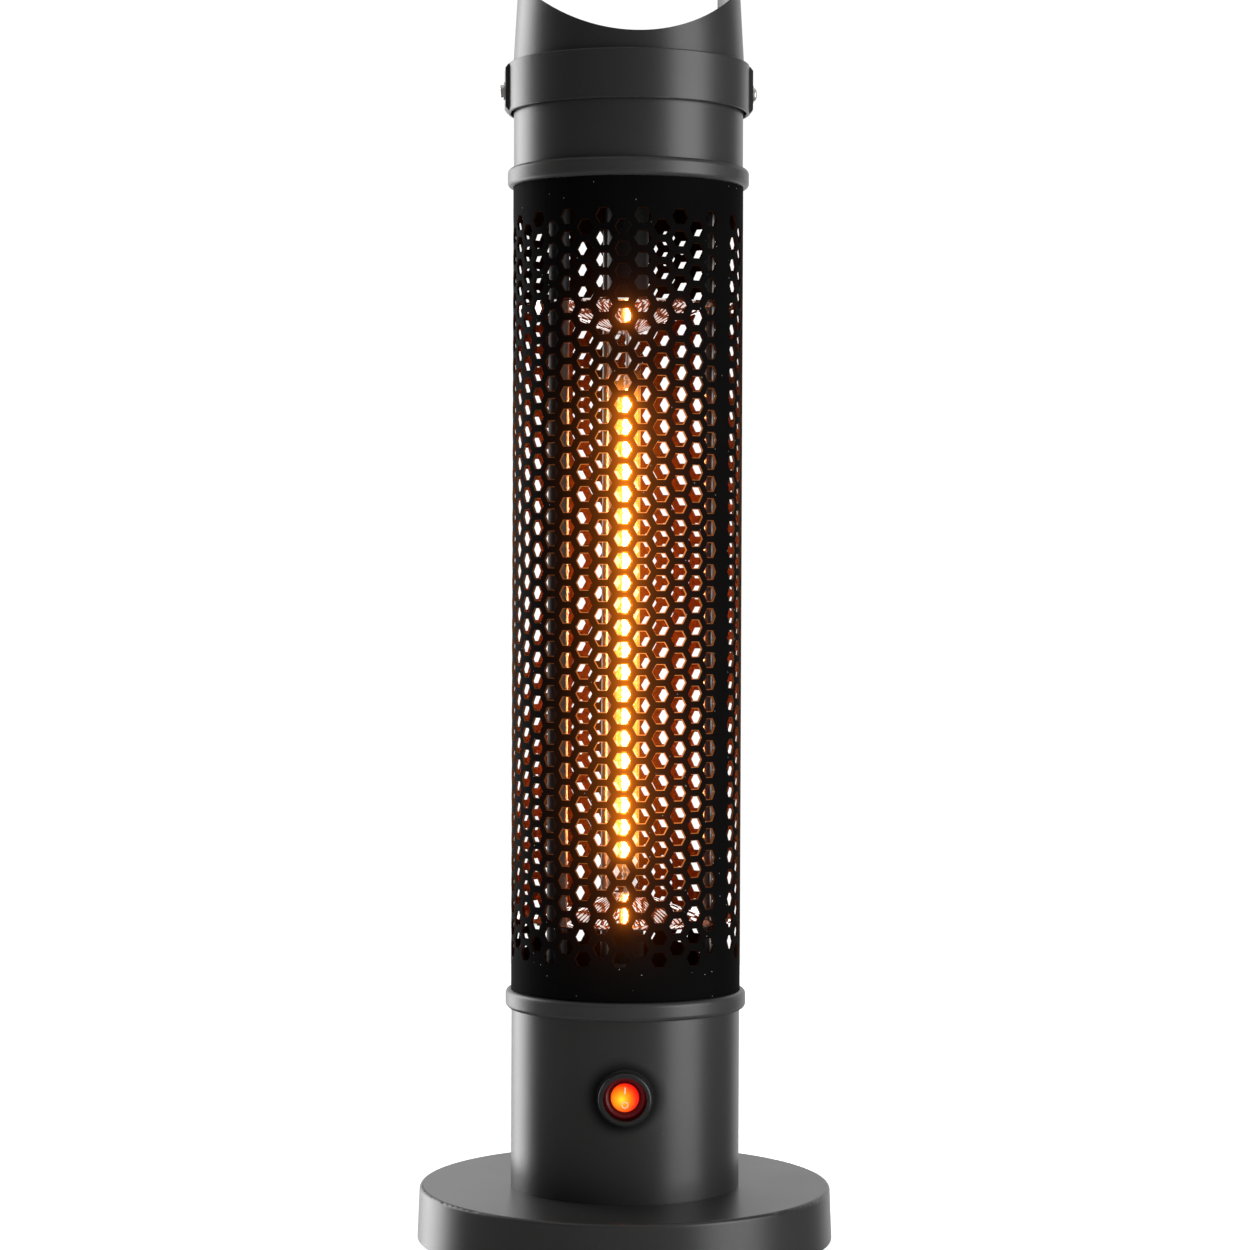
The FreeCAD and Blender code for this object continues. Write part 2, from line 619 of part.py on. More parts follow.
def make_switch():
    bezel_face = gasket_face + d.bezel_proud
    barrel_end = gasket_face - d.barrel_long
    floor = barrel_end + d.barrel_floor
    front = {"z": d.switch_height, "turn": TO_FRONT}

    saddle = ring("saddle_blank", d.barrel_radius + d.hole_gap, d.gasket_radius,
                  gasket_face - d.gasket_radius, gasket_face)
    put(saddle, **front)
    tube_shape = drill("saddle_tube", d.tube_radius + d.thread_gap, 4 * d.gasket_radius,
                       z=d.switch_height - 2 * d.gasket_radius)
    keep(cut("saddle", saddle, tube_shape), "switch_gasket")

    collar = turned("switch_collar", [
        (0, barrel_end),
        (d.barrel_radius, barrel_end),
        (d.barrel_radius, gasket_face),
        (d.bezel_radius, gasket_face),
        (d.bezel_radius, bezel_face),
        (d.bezel_bore, bezel_face),
        (d.bezel_bore, floor),
        (0, floor),
    ])
    rounded(collar, d.bezel_round, [(d.bezel_radius, bezel_face)])
    put(collar, **front)
    latch_top = root(tube_bore * tube_bore - d.latch_width * d.latch_width / 4) - d.thread_gap
    latches = block("switch_latches", d.latch_width, d.latch_long, 2 * (d.barrel_radius + d.latch_proud),
                    x=-(d.latch_width / 2), y=-latch_top,
                    z=d.switch_height - d.barrel_radius - d.latch_proud)
    latched = together("Part::MultiFuse", "switch_latched", [collar, latches])
    well = drill("switch_well", d.bezel_bore, d.barrel_long, y=-floor, z=d.switch_height, turn=TO_FRONT)
    pin_hole = drill("pivot_hole", d.pivot_radius + d.running_gap, 2 * d.bezel_radius,
                     x=-d.bezel_radius, y=-pivot, z=d.switch_height, turn=TO_RIGHT)
    keep(cut("switch_shell", latched, well, pin_hole), "switch_housing")

    blade = block("terminal_blade", d.blade_thick, d.blade_long, d.blade_wide)
    blade_low = d.switch_height - d.blade_wide / 2
    places = [{"x": d.blade_pitch * step - d.blade_thick / 2, "y": -barrel_end, "z": blade_low}
              for step in (-1, 0, 1)]
    keep(copies("terminal_blades", blade, places), "switch_terminals")

    lamp = disc("lamp_bulb", d.lamp_radius, floor, floor + d.lamp_high)
    keep(put(lamp, **front), "indicator_lamp")
    make_rocker()


def make_rocker():
    tilt = as_size(90) - d.rocker_tilt
    at_pivot = {
        "y": -(pivot * (as_size(1) - cosine(d.rocker_tilt))),
        "z": d.switch_height - pivot * sine(d.rocker_tilt),
        "turn": (AXIS_X, tilt),
    }
    face = pivot + d.rocker_front
    button = disc("rocker_button", d.rocker_radius, pivot - d.rocker_back, face)
    rounded(button, d.rocker_round, [(d.rocker_radius, face)])
    put(button, **at_pivot)
    reach = d.bezel_bore + d.pivot_reach
    pins = drill("rocker_pins", d.pivot_radius, 2 * reach, x=-reach, y=-pivot, z=d.switch_height,
                 turn=TO_RIGHT)
    keep(together("Part::MultiFuse", "rocker_whole", [button, pins]), "rocker")

    lens = disc("rocker_window", d.lens_radius, face, face + d.lens_thick)
    rounded(lens, d.lens_round, [(d.lens_radius, face + d.lens_thick)])
    keep(put(lens, **at_pivot), "rocker_lens")

    mark_low = face + d.lens_thick
    bar = block("mark_bar", d.bar_wide, d.bar_long, d.mark_thick,
                x=-(d.bar_wide / 2), y=d.bar_lift - d.bar_long / 2, z=mark_low)
    loop = put(ring("mark_loop", d.ring_mark - d.mark_line, d.ring_mark, mark_low, mark_low + d.mark_thick),
               y=-d.ring_drop)
    marks = doc.addObject("Part::Compound", "marks")
    marks.Links = [bar, loop]
    keep(put(marks, **at_pivot), "rocker_marks")


def trim_ring(label, web_low):
    """Moulded ring: a rounded bead outside, and a web that parts the tube from the grille."""
    middle = web_low + d.ring_web / 2
    low, high = middle - d.ring_high / 2, middle + d.ring_high / 2
    seat = grille_radius + d.thread_gap
    bead = d.tube_radius + d.ring_proud
    web_high = web_low + d.ring_web
    body = turned(f"{label}_bead", [
        (seat, low),
        (bead, low),
        (bead, high),
        (seat, high),
        (seat, web_high),
        (tube_bore - d.ring_lip, web_high),
        (tube_bore - d.ring_lip, web_low),
        (seat, web_low),
    ])
    rounding = least(d.ring_round, bead - seat - d.round_edge)
    keep(rounded(body, rounding, [(bead, low), (bead, high)]), label)


def hex_tool(angle, height, ends):
    """Six-sided punch through the grille, from a small end to a large one: (radius, flats) for each."""
    out = Vector(math.cos(angle), math.sin(angle), 0)
    along = Vector(-math.sin(angle), math.cos(angle), 0)
    outlines = []
    for radius, flats in ends:
        corner = flats / 2 / math.cos(math.radians(30))
        points = []
        for step in range(7):
            turn = math.radians(60 * step)
            points.append(out * radius + along * (corner * math.cos(turn))
                          + AXIS_Z * (height + corner * math.sin(turn)))
        outlines.append(Part.makePolygon(points))
    return Part.makeLoft(outlines, True, True)


def open_faces(sector):
    """Faces of a sector of the grille without its two upright end faces, the only tall flat ones."""
    hole_high = d.hole_flats.value + d.hole_bridge.value
    return [face for face in sector.Faces
            if not (isinstance(face.Surface, Part.Plane) and face.BoundBox.ZLength > hole_high)]


def make_grille():
    """Punched tube: a low and a high column of holes are cut once each and repeated round the tube."""
    outer, inner = grille_radius.value, grille_bore.value
    low, length = grille_low.value, d.grille_length.value
    pitch = d.hole_flats.value + d.hole_bridge.value
    column = math.degrees(d.column_step.value / outer)
    columns = int((2 * math.pi * outer - d.seam_blank.value) / d.column_step.value)
    punched = length - d.lower_blank.value - d.upper_blank.value - d.hole_flats.value - pitch / 2
    rows = int(punched / pitch) + 1
    first = low + d.lower_blank.value + d.hole_flats.value / 2

    def sector(angle):
        foot = Vector(0, 0, low)
        return (Part.makeCylinder(outer, length, foot, AXIS_Z, angle)
                .cut(Part.makeCylinder(inner, length, foot, AXIS_Z, angle)))

    margin = d.grille_sheet.value
    draft = 2 * d.hole_taper.value
    ends = [(inner - margin, d.hole_flats.value - 2 * draft), (outer + margin, d.hole_flats.value + draft)]
    middle = math.radians(column / 2)
    strips = []
    for lift in (pitch / 2, 0):
        punches = [hex_tool(middle, first + lift + pitch * number, ends) for number in range(rows)]
        strips.append(Part.Compound(open_faces(sector(column).cut(Part.Compound(punches)))))
    seam = 360 - column * columns
    blank = Part.Compound(open_faces(sector(seam)))
    start = d.seam_angle.value - 90 + seam / 2
    faces = []
    for number in range(columns):
        faces += strips[number % 2].rotated(Vector(), AXIS_Z, start + column * number).Faces
    faces += blank.rotated(Vector(), AXIS_Z, start - seam).Faces
    skin = Part.Compound(faces)
    skin.sewShape()
    tube = doc.addObject("Part::Feature", "grille_tube")
    tube.Shape = Part.Solid(skin.Shells[0])
    keep(tube, "grille")
    print(f"grille: {rows} rows in {columns} columns")


def make_frame():
    rod_hole = d.rod_radius + d.hole_gap
    wire_hole = d.conduit_radius - d.conduit_wall - d.part_gap

    lower = ring("lower_disc", d.lead_hole, grille_bore - 2 * d.part_gap, grille_low, lower_plate_top)
    tools = holes("lower_rod_hole", rod_hole, d.plate_thick, rods, grille_low)
    tools += holes("lower_wire_hole", wire_hole, d.plate_thick, [conduit], grille_low)
    keep(cut("lower_disc_drilled", lower, *tools), "lower_bulkhead")

    rim = skirt_radius
    upper = turned("upper_cup", [
        (d.lead_hole, head_low),
        (rim, head_low),
        (rim, head_low + d.plate_rim),
        (rim - d.plate_thick, head_low + d.plate_rim),
        (rim - d.plate_thick, upper_plate_top),
        (d.lead_hole, upper_plate_top),
    ])
    tools = holes("upper_rod_hole", rod_hole, d.plate_thick, rods, head_low)
    tools += holes("upper_wire_hole", wire_hole, d.plate_thick, [conduit], head_low)
    keep(cut("upper_cup_drilled", upper, *tools), "upper_bulkhead")

    rod_top = upper_plate_top + d.nut_high + d.rod_end
    rod = disc("tie_rod", d.rod_radius, base_top, rod_top)
    keep(copies("tie_rod_pair", rod, rods), "tie_rods")

    nut = cut("rod_nut", hexagon("rod_hex", d.nut_flats, d.nut_high, z=upper_plate_top),
              drill("rod_hex_bore", d.rod_radius + d.thread_gap, d.nut_high, z=upper_plate_top))
    keep(copies("rod_nut_pair", nut, rods), "rod_nuts")

    collar = ring("push_collar", d.rod_radius + d.thread_gap, d.collar_radius, 0, d.collar_thick)
    seats = []
    for mirror in (lower_mirror, upper_mirror):
        seats += [mirror - d.collar_thick, mirror + d.mirror_sheet]
    keep(copies("push_collars", collar, [dict(rod_place, z=seat) for rod_place in rods for seat in seats]),
         "rod_collars")

    bore = d.conduit_radius - d.conduit_wall
    keep(put(ring("conduit_pipe", bore, d.conduit_radius, lower_plate_top, head_low), **conduit),
         "wire_conduit")

    cutout = disc("cutout_can", d.cutout_radius, upper_plate_top, upper_plate_top + d.cutout_high)
    keep(put(cutout, **around(d.cutout_circle, d.cutout_angle)), "thermal_cutout")


def reflector(label, level, rise):
    """Polished dish: a flat rim with the rod holes, and a cone that points along the element."""
    eye = d.quartz_radius + d.part_gap
    tip = level + rise
    dish = turned(f"{label}_dish", [
        (mirror_radius, level),
        (mirror_radius, level + d.mirror_sheet),
        (mirror_cone, level + d.mirror_sheet),
        (eye, tip + d.mirror_sheet),
        (eye, tip),
        (mirror_cone, level),
    ])
    tool_low = level - d.mirror_rise
    tool_long = 2 * d.mirror_rise + d.mirror_sheet
    tools = holes(f"{label}_rod", d.rod_radius + d.hole_gap, tool_long, rods, tool_low)
    tools += holes(f"{label}_pipe", d.conduit_radius + d.hole_gap, tool_long, [conduit], tool_low)
    keep(cut(f"{label}_drilled", dish, *tools), label)


def make_element():
    lead_bore = d.lead_radius + d.thread_gap
    socket = d.quartz_radius + d.thread_gap
    quartz_low = lower_cap_top - d.cap_socket
    quartz_high = upper_cap_low + d.cap_socket
    keep(ring("quartz_pipe", d.quartz_radius - d.quartz_wall, d.quartz_radius, quartz_low, quartz_high),
         "quartz_tube")
    keep(disc("carbon_rope", d.filament_radius, filament_low, filament_high), "carbon_filament")

    leads = doc.addObject("Part::Compound", "lead_pair")
    leads.Links = [disc("lower_lead", d.lead_radius, lower_lead_end, filament_low),
                   disc("upper_lead", d.lead_radius, filament_high, upper_lead_end)]
    keep(leads, "filament_leads")

    clamps = doc.addObject("Part::Compound", "clamp_pair")
    clamps.Links = [
        ring("lower_clamp", lead_bore, d.clamp_radius, filament_low - d.clamp_length, filament_low),
        ring("upper_clamp", lead_bore, d.clamp_radius, filament_high, filament_high + d.clamp_length),
    ]
    keep(clamps, "filament_clamps")

    keep(turned("lower_cap", [
        (lead_bore, cup_floor),
        (d.cap_radius, cup_floor),
        (d.cap_radius, lower_cap_top),
        (socket, lower_cap_top),
        (socket, quartz_low),
        (lead_bore, quartz_low),
    ]), "ceramic_cap_lower")
    keep(turned("upper_cap", [
        (lead_bore, upper_cap_top),
        (d.cap_radius, upper_cap_top),
        (d.cap_radius, upper_cap_low),
        (socket, upper_cap_low),
        (socket, quartz_high),
        (lead_bore, quartz_high),
    ]), "ceramic_cap_upper")

    cup_bore = d.cap_radius + d.thread_gap
    cup_radius = cup_bore + d.cup_wall
    flange = cup_radius + d.cup_flange
    keep(turned("lower_cup", [
        (d.lead_hole, lower_plate_top),
        (flange, lower_plate_top),
        (flange, cup_floor),
        (cup_radius, cup_floor),
        (cup_radius, cup_floor + d.cup_high),
        (cup_bore, cup_floor + d.cup_high),
        (cup_bore, cup_floor),
        (d.lead_hole, cup_floor),
    ]), "element_cup_lower")
    keep(turned("upper_sleeve", [
        (d.lead_hole, head_low),
        (flange, head_low),
        (flange, upper_cap_top),
        (cup_radius, upper_cap_top),
        (cup_radius, upper_cap_top - d.sleeve_high),
        (cup_bore, upper_cap_top - d.sleeve_high),
        (cup_bore, upper_cap_top),
        (d.lead_hole, upper_cap_top),
    ]), "element_sleeve_upper")


def wire(label, route):
    """Insulated wire: straight runs joined by tangent bends."""
    points = [Vector(*(as_size(part).value for part in point)) for point in route]
    edges = []
    start = points[0]
    for before, corner, after in zip(points, points[1:], points[2:]):
        toward, away = (before - corner).normalize(), (after - corner).normalize()
        half = toward.getAngle(away) / 2
        reach = d.wire_bend.value / math.tan(half)
        first, last = corner + toward * reach, corner + away * reach
        bisector = (toward + away).normalize()
        middle = corner + bisector * (d.wire_bend.value / math.sin(half) - d.wire_bend.value)
        edges += [Part.makeLine(start, first), Part.Arc(first, middle, last).toShape()]
        start = last
    edges.append(Part.makeLine(start, points[-1]))
    path = Part.Wire(edges)
    section = Part.Wire(Part.makeCircle(d.wire_radius.value, points[0], points[1] - points[0]))
    run = doc.addObject("Part::Feature", f"{label}_run")
    run.Shape = path.makePipeShell([section], True, True)
    keep(run, label)


def make_wires():
    block_top = flange_top + d.block_high
    slot = d.block_wide / 4
    drop = d.wire_bend + d.wire_drop
    wire("element_wire_lower", [
        (0, 0, lower_lead_end),
        (0, 0, lower_lead_end - drop),
        (block_place, d.block_back + slot, lower_lead_end - drop),
        (block_place, d.block_back + slot, block_top),
    ])
    wire("element_wire_upper", [
        (0, 0, upper_lead_end),
        (0, 0, upper_lead_end + drop),
        (conduit["x"], conduit["y"], upper_lead_end + drop),
        (conduit["x"], conduit["y"], lower_lead_end - 2 * drop),
        (block_place, d.block_back, lower_lead_end - 2 * drop),
        (block_place, d.block_back, block_top),
    ])
    blade_end = -(gasket_face - d.barrel_long - d.blade_long)
    wire("switch_wire", [
        (0, blade_end, d.switch_height),
        (0, blade_end + drop, d.switch_height),
        (block_place, d.block_back - slot, d.switch_height),
        (block_place, d.block_back - slot, block_top),
    ])


def shell_outside(height):
    """Radius of the tapered handle shell at a height above the head tube."""
    return shell_radius - height * tangent(d.shell_taper)


def turn_handle(obj):
    return put(obj, turn=(AXIS_Z, d.handle_turn))


def make_head():
    screw_z = head_top - d.side_screw_drop
    side_hole = d.fix_shank + d.hole_gap
    tube = ring("head_sleeve", tube_bore, d.tube_radius, head_low, head_top)
    through = drill("head_screw_hole", side_hole, 2 * band_radius,
                    x=-(band_radius * cosine(d.handle_turn)), y=-(band_radius * sine(d.handle_turn)),
                    z=screw_z)
    through.Placement = Placement(Vector(), Rotation(AXIS_Z, d.handle_turn.value) * Rotation(AXIS_Y, 90))
    keep(cut("head_sleeve_drilled", tube, through), "head_tube")
    make_handle_shell(screw_z, side_hole)
    make_band(screw_z, side_hole)
    lid_seat = head_top + d.shell_wall
    lid_radius = shell_outside(d.shell_wall + d.lid_thick) - d.shell_wall - d.part_gap
    keep(disc("lid_disc", lid_radius, lid_seat, lid_seat + d.lid_thick), "head_lid")


def make_handle_shell(screw_z, side_hole):
    grip_z = head_top + d.grip_lift
    ear_round = root(shell_outside(d.grip_lift) * shell_outside(d.grip_lift) - ear_inset * ear_inset)
    top_lift = d.grip_lift + ear_round
    top = head_top + top_lift
    inner_step = head_top + d.shell_wall
    skin = turned("shell_skin", [
        (skirt_radius, head_top - d.skirt_depth),
        (skirt_radius, head_top),
        (shell_radius, head_top),
        (shell_outside(top_lift), top),
        (shell_outside(top_lift) - d.shell_wall, top),
        (shell_radius - d.shell_wall, inner_step),
        (skirt_radius - d.shell_wall, inner_step),
        (skirt_radius - d.shell_wall, head_top - d.skirt_depth),
    ])
    reach = 2 * shell_radius
    scoop_low = head_top + d.scoop_lift
    arc = drill("scoop_arc", d.scoop_radius, 2 * reach, y=reach, z=scoop_low + d.scoop_radius, turn=TO_FRONT)
    slot = block("scoop_slot", 2 * ear_inset, 2 * reach, top_lift, x=-ear_inset, y=-reach, z=scoop_low)
    scoop = doc.addObject("Part::Common", "scoop")
    scoop.Base, scoop.Tool = arc, slot
    above = block("ear_above", 2 * reach, 2 * reach, top_lift, x=-reach, y=-reach, z=grip_z)
    ear = drill("ear_arc", ear_round, 2 * reach, x=-reach, z=grip_z, turn=TO_RIGHT)
    corners = cut("ear_corners", above, ear)
    screw_hole = drill("shell_screw_hole", side_hole, 2 * reach, x=-reach, z=screw_z, turn=TO_RIGHT)
    grip_hole = drill("shell_grip_hole", side_hole, 2 * reach, x=-reach, z=grip_z, turn=TO_RIGHT)
    keep(turn_handle(cut("shell_cut", skin, scoop, corners, screw_hole, grip_hole)), "handle_shell")
    make_grip(grip_z, top, top_lift)


def make_grip(grip_z, top, top_lift):
    inside = d.shell_wall + d.thread_gap
    core = turned("grip_room", [
        (0, head_top),
        (shell_radius - inside, head_top),
        (shell_outside(top_lift) - inside, top),
        (0, top),
    ])
    reach = shell_radius
    collar_from = shell_outside(d.grip_lift) - d.shell_wall - d.grip_collar_long
    end = d.grip_radius + d.grip_collar
    half = [(0, 0), (d.grip_radius, 0), (d.grip_radius, collar_from), (end, collar_from), (end, reach),
            (0, reach)]
    bars = [put(turned(f"grip_half_{side}", half), z=grip_z, turn=turn)
            for side, turn in (("right", TO_RIGHT), ("left", TO_LEFT))]
    bar = together("Part::MultiFuse", "grip_bar", bars)
    fitted = doc.addObject("Part::Common", "grip_fitted")
    fitted.Base, fitted.Tool = bar, core
    seat = shell_outside(d.grip_lift - d.side_head) + d.thread_gap
    pilots = [drill(f"grip_pilot_{side}", d.fix_shank + d.thread_gap, d.grip_screw_long,
                    x=place * (seat - d.grip_screw_long), z=grip_z, turn=turn)
              for side, place, turn in (("right", 1, TO_RIGHT), ("left", -1, TO_LEFT))]
    keep(turn_handle(cut("grip_drilled", fitted, *pilots)), "grip")
    keep(side_pair("grip_screw", pan_screw("grip_pan", seat, d.grip_screw_long), grip_z), "grip_screws")


def pan_screw(name, seat, shank_long):
    """Round-headed screw whose head sits on a face at a distance from the tube's axis."""
    top = seat + d.side_head_high
    screw = turned(name, [
        (0, seat - shank_long),
        (d.fix_shank, seat - shank_long),
        (d.fix_shank, seat),
        (d.side_head, seat),
        (d.side_head, top),
        (0, top),
    ])
    rounding = least(d.side_head_round, d.side_head_high - d.round_edge)
    return rounded(screw, rounding, [(d.side_head, top)])


def side_pair(name, piece, height):
    """The same piece at the right and at the left of the handle."""
    return turn_handle(copies(f"{name}_pair", piece, [
        {"z": height, "turn": TO_RIGHT},
        {"z": height, "turn": TO_LEFT},
    ]))


def make_band(screw_z, side_hole):
    high = head_top + d.band_lift
    low = high - d.band_high
    hoop = ring("band_hoop", band_bore, band_radius, low, high)
    rounded(hoop, d.band_round, [(band_radius, low), (band_radius, high)])
    lug_inside = root(band_bore * band_bore - d.lug_width * d.lug_width / 4)
    lug_outside = band_radius + d.lug_proud
    lug_thick = lug_outside - lug_inside
    lug_corner = root(lug_outside * lug_outside + d.lug_width * d.lug_width / 4)
    slopes = turned("lug_slopes", [
        (0, low),
        (band_radius, low),
        (lug_corner, low + d.lug_bevel),
        (lug_corner, high - d.lug_bevel),
        (band_radius, high),
        (0, high),
    ])
    lugs = []
    for side, x in (("right", lug_inside), ("left", -lug_outside)):
        lug = block(f"lug_block_{side}", lug_thick, d.lug_width, d.band_high - 2 * d.band_round,
                    x=x, y=-(d.lug_width / 2), z=low + d.band_round)
        lugs.append(together("Part::MultiCommon", f"band_lug_{side}", [lug, slopes]))
    whole = together("Part::MultiFuse", "band_whole", [hoop] + lugs)
    screw_hole = drill("band_screw_hole", side_hole, 2 * lug_outside, x=-lug_outside, z=screw_z,
                       turn=TO_RIGHT)
    keep(turn_handle(cut("band_cut", whole, screw_hole)), "handle_band")

    spacer = ring("spacer_bush", side_hole, d.washer_radius, d.tube_radius + d.thread_gap,
                  lug_inside - d.thread_gap)
    keep(side_pair("spacer", spacer, screw_z), "band_spacers")
    washer = ring("washer_disc", d.fix_shank + d.thread_gap, d.washer_radius, lug_outside,
                  lug_outside + d.washer_thick)
    keep(side_pair("washer", washer, screw_z), "handle_washers")
    seat = lug_outside + d.washer_thick
    keep(side_pair("screw", pan_screw("side_pan", seat, d.side_screw_long), screw_z), "handle_screws")
    corner = d.side_nut_flats / 2 / cosine(as_size(30))
    skirt_bore = skirt_radius - d.shell_wall
    nut_face = root(skirt_bore * skirt_bore - corner * corner) - d.thread_gap
    nut = cut("side_nut",
              hexagon("side_hex", d.side_nut_flats, d.side_nut_high, z=nut_face - d.side_nut_high),
              drill("side_hex_bore", d.fix_shank + d.thread_gap, d.side_nut_high,
                    z=nut_face - d.side_nut_high))
    keep(side_pair("nut", nut, screw_z), "handle_nuts")


make_base()
make_tip_switch()
make_lower_tube()
make_gland()
make_switch()
trim_ring("lower_trim_ring", lower_tube_top)
trim_ring("upper_trim_ring", grille_high)
make_grille()
make_frame()
reflector("lower_reflector", lower_mirror, d.mirror_rise)
reflector("upper_reflector", upper_mirror, -d.mirror_rise)
make_element()
make_wires()
make_head()
doc.recompute()

for obj in doc.Objects:
    if "Invalid" in obj.State or "Error" in obj.State:
        raise RuntimeError(f"{obj.Name} could not be built")
for label, obj in nodes.items():
    if obj.Shape.isNull() or not obj.Shape.isValid() or not obj.Shape.Solids:
        raise RuntimeError(f"{label} is not a sound solid")

os.makedirs("parts", exist_ok=True)
for label, obj in nodes.items():
    obj.Shape.exportStep(f"parts/{label}.step")
tallest = max(obj.Shape.BoundBox.ZMax for obj in nodes.values())
print(f"{len(nodes)} pieces, {tallest:.1f} mm tall, base {2 * d.base_radius.value:.1f} mm across")
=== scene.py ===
# %% [markdown]
# # A tower heater for the terrace
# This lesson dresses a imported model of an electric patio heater: a round weighted base, a short lower
# tube with a lit switch, a punched tube round a glowing quartz element, and a carrying handle on top.
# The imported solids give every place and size. Here they get their finishes, and the pieces that are
# looked at most are modelled again with rounder edges and finer detail.

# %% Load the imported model
import json
import math

import bmesh
import bpy
from mathutils import Matrix, Vector


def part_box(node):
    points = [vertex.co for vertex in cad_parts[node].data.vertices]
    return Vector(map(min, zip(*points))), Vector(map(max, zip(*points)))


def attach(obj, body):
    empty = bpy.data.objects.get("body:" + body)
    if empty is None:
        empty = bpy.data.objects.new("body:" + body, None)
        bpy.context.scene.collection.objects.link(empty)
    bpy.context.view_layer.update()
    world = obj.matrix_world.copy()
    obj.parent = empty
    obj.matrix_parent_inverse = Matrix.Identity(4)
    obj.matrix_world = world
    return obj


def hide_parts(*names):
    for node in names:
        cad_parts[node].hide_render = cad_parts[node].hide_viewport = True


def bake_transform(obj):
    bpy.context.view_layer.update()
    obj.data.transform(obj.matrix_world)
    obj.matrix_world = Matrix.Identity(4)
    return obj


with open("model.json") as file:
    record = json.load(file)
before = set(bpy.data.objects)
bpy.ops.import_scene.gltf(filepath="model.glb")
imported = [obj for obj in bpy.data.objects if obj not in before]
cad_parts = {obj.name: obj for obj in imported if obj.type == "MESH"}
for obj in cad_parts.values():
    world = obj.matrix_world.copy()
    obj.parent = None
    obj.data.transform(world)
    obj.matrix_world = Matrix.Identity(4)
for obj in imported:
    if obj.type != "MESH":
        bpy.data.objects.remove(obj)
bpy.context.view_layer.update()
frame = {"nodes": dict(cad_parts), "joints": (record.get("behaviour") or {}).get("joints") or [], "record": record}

MM = 0.001
HEATER, ROCKER, PLUNGER = "heater", "rocker_body", "plunger_body"

# %% [markdown]
# ## The camera
# The picture was taken with a long lens from a little more than one and a half metres, just above the
# middle of the heater, looking slightly down. A long lens keeps the tube's edges nearly parallel. The
# camera is tipped and rolled by the small angles that the rims of the tube show.

# %% Place the camera
CAMERA_BACK = 1.593
CAMERA_HEIGHT = 0.3389
CAMERA_SIDE = -0.00084
CAMERA_PITCH = 0.01955
CAMERA_ROLL = 0.00374
SENSOR = 36.0
FOCAL_PIXELS = 3192
PHOTO_PIXELS = 1250

bpy.ops.object.select_all(action="DESELECT")
bpy.ops.object.camera_add(location=(CAMERA_SIDE, -CAMERA_BACK, CAMERA_HEIGHT),
                          rotation=(math.pi / 2 - CAMERA_PITCH, 0, 0))
camera = bpy.context.object
camera.rotation_euler.rotate_axis("Z", CAMERA_ROLL)
camera.data.sensor_width = SENSOR
camera.data.lens = SENSOR * FOCAL_PIXELS / PHOTO_PIXELS
bpy.context.scene.camera = camera
print(f"lens {camera.data.lens:.1f} mm")

# %% [markdown]
# ## The studio
# The heater stands in a white studio. A tall soft light behind it on the left draws the bright line
# down the tube's left edge, and one at the right in front gives the broad soft sheen. Two dim ones
# behind it rim both edges and show in the flat top of the base. The front is left dark, so the satin
# coat looks nearly black there. The pale floor lights it a little from below and doesn't show in the
# gloss.

# %% Build the studio
FLOOR_RADIUS = 1.1
FLOOR_SINK = 0.0003
SURROUND_WHITE = 1.05
SURROUND_FILL = 0.03
SURROUND_GLOSS = 0.18
SURROUND_MIRROR = 0.9
MIDDLE = (0, 0, 0.33)
LIGHT_AWAY, LIGHT_UP = 1.6, 0.42


def deselect():
    bpy.ops.object.select_all(action="DESELECT")


def soft_light(name, place, target, size, brightness):
    """A soft box that faces a point. Brightness is what a mirror would show of it."""
    deselect()
    bpy.ops.object.light_add(type="AREA", location=place)
    light = bpy.context.object
    light.name = name
    light.rotation_euler = (Vector(target) - Vector(place)).to_track_quat("-Z", "Y").to_euler()
    light.data.shape = "RECTANGLE"
    light.data.size, light.data.size_y = size
    light.data.energy = brightness * math.pi * size[0] * size[1]
    light.visible_camera = False


def round_the_heater(angle, distance, height):
    """A place at an angle from the front, counted towards the right."""
    return (distance * math.sin(math.radians(angle)), -distance * math.cos(math.radians(angle)), height)


soft_light("right_softbox", round_the_heater(60, LIGHT_AWAY, LIGHT_UP), MIDDLE, (1.05, 1.6), 5.0)
soft_light("left_softbox", round_the_heater(-129, LIGHT_AWAY, LIGHT_UP), MIDDLE, (0.95, 1.8), 5.4)
soft_light("left_rim", round_the_heater(-163, LIGHT_AWAY, LIGHT_UP), MIDDLE, (0.9, 1.6), 1.1)
soft_light("right_rim", round_the_heater(158, LIGHT_AWAY, LIGHT_UP), MIDDLE, (1.2, 1.6), 0.95)
soft_light("overhead", (0, 0.1, 2.2), (0, 0, 0), (2.4, 2.4), 0.5)

world = bpy.data.worlds.new("white_surround")
bpy.context.scene.world = world
world.use_nodes = True
surround = world.node_tree
ray = surround.nodes.new("ShaderNodeLightPath")
strength = surround.nodes["Background"].inputs["Strength"]
fill = SURROUND_FILL
for kind, level in (("Is Glossy Ray", SURROUND_GLOSS), ("Is Singular Ray", SURROUND_MIRROR),
                    ("Is Camera Ray", SURROUND_WHITE)):
    choice = surround.nodes.new("ShaderNodeMix")
    choice.inputs["B"].default_value = level
    surround.links.new(ray.outputs[kind], choice.inputs["Factor"])
    if isinstance(fill, float):
        choice.inputs["A"].default_value = fill
    else:
        surround.links.new(fill, choice.inputs["A"])
    fill = choice.outputs["Result"]
surround.links.new(fill, strength)
surround.nodes["Background"].inputs["Color"].default_value = (1, 1, 1, 1)
bpy.context.scene.view_settings.view_transform = "Standard"

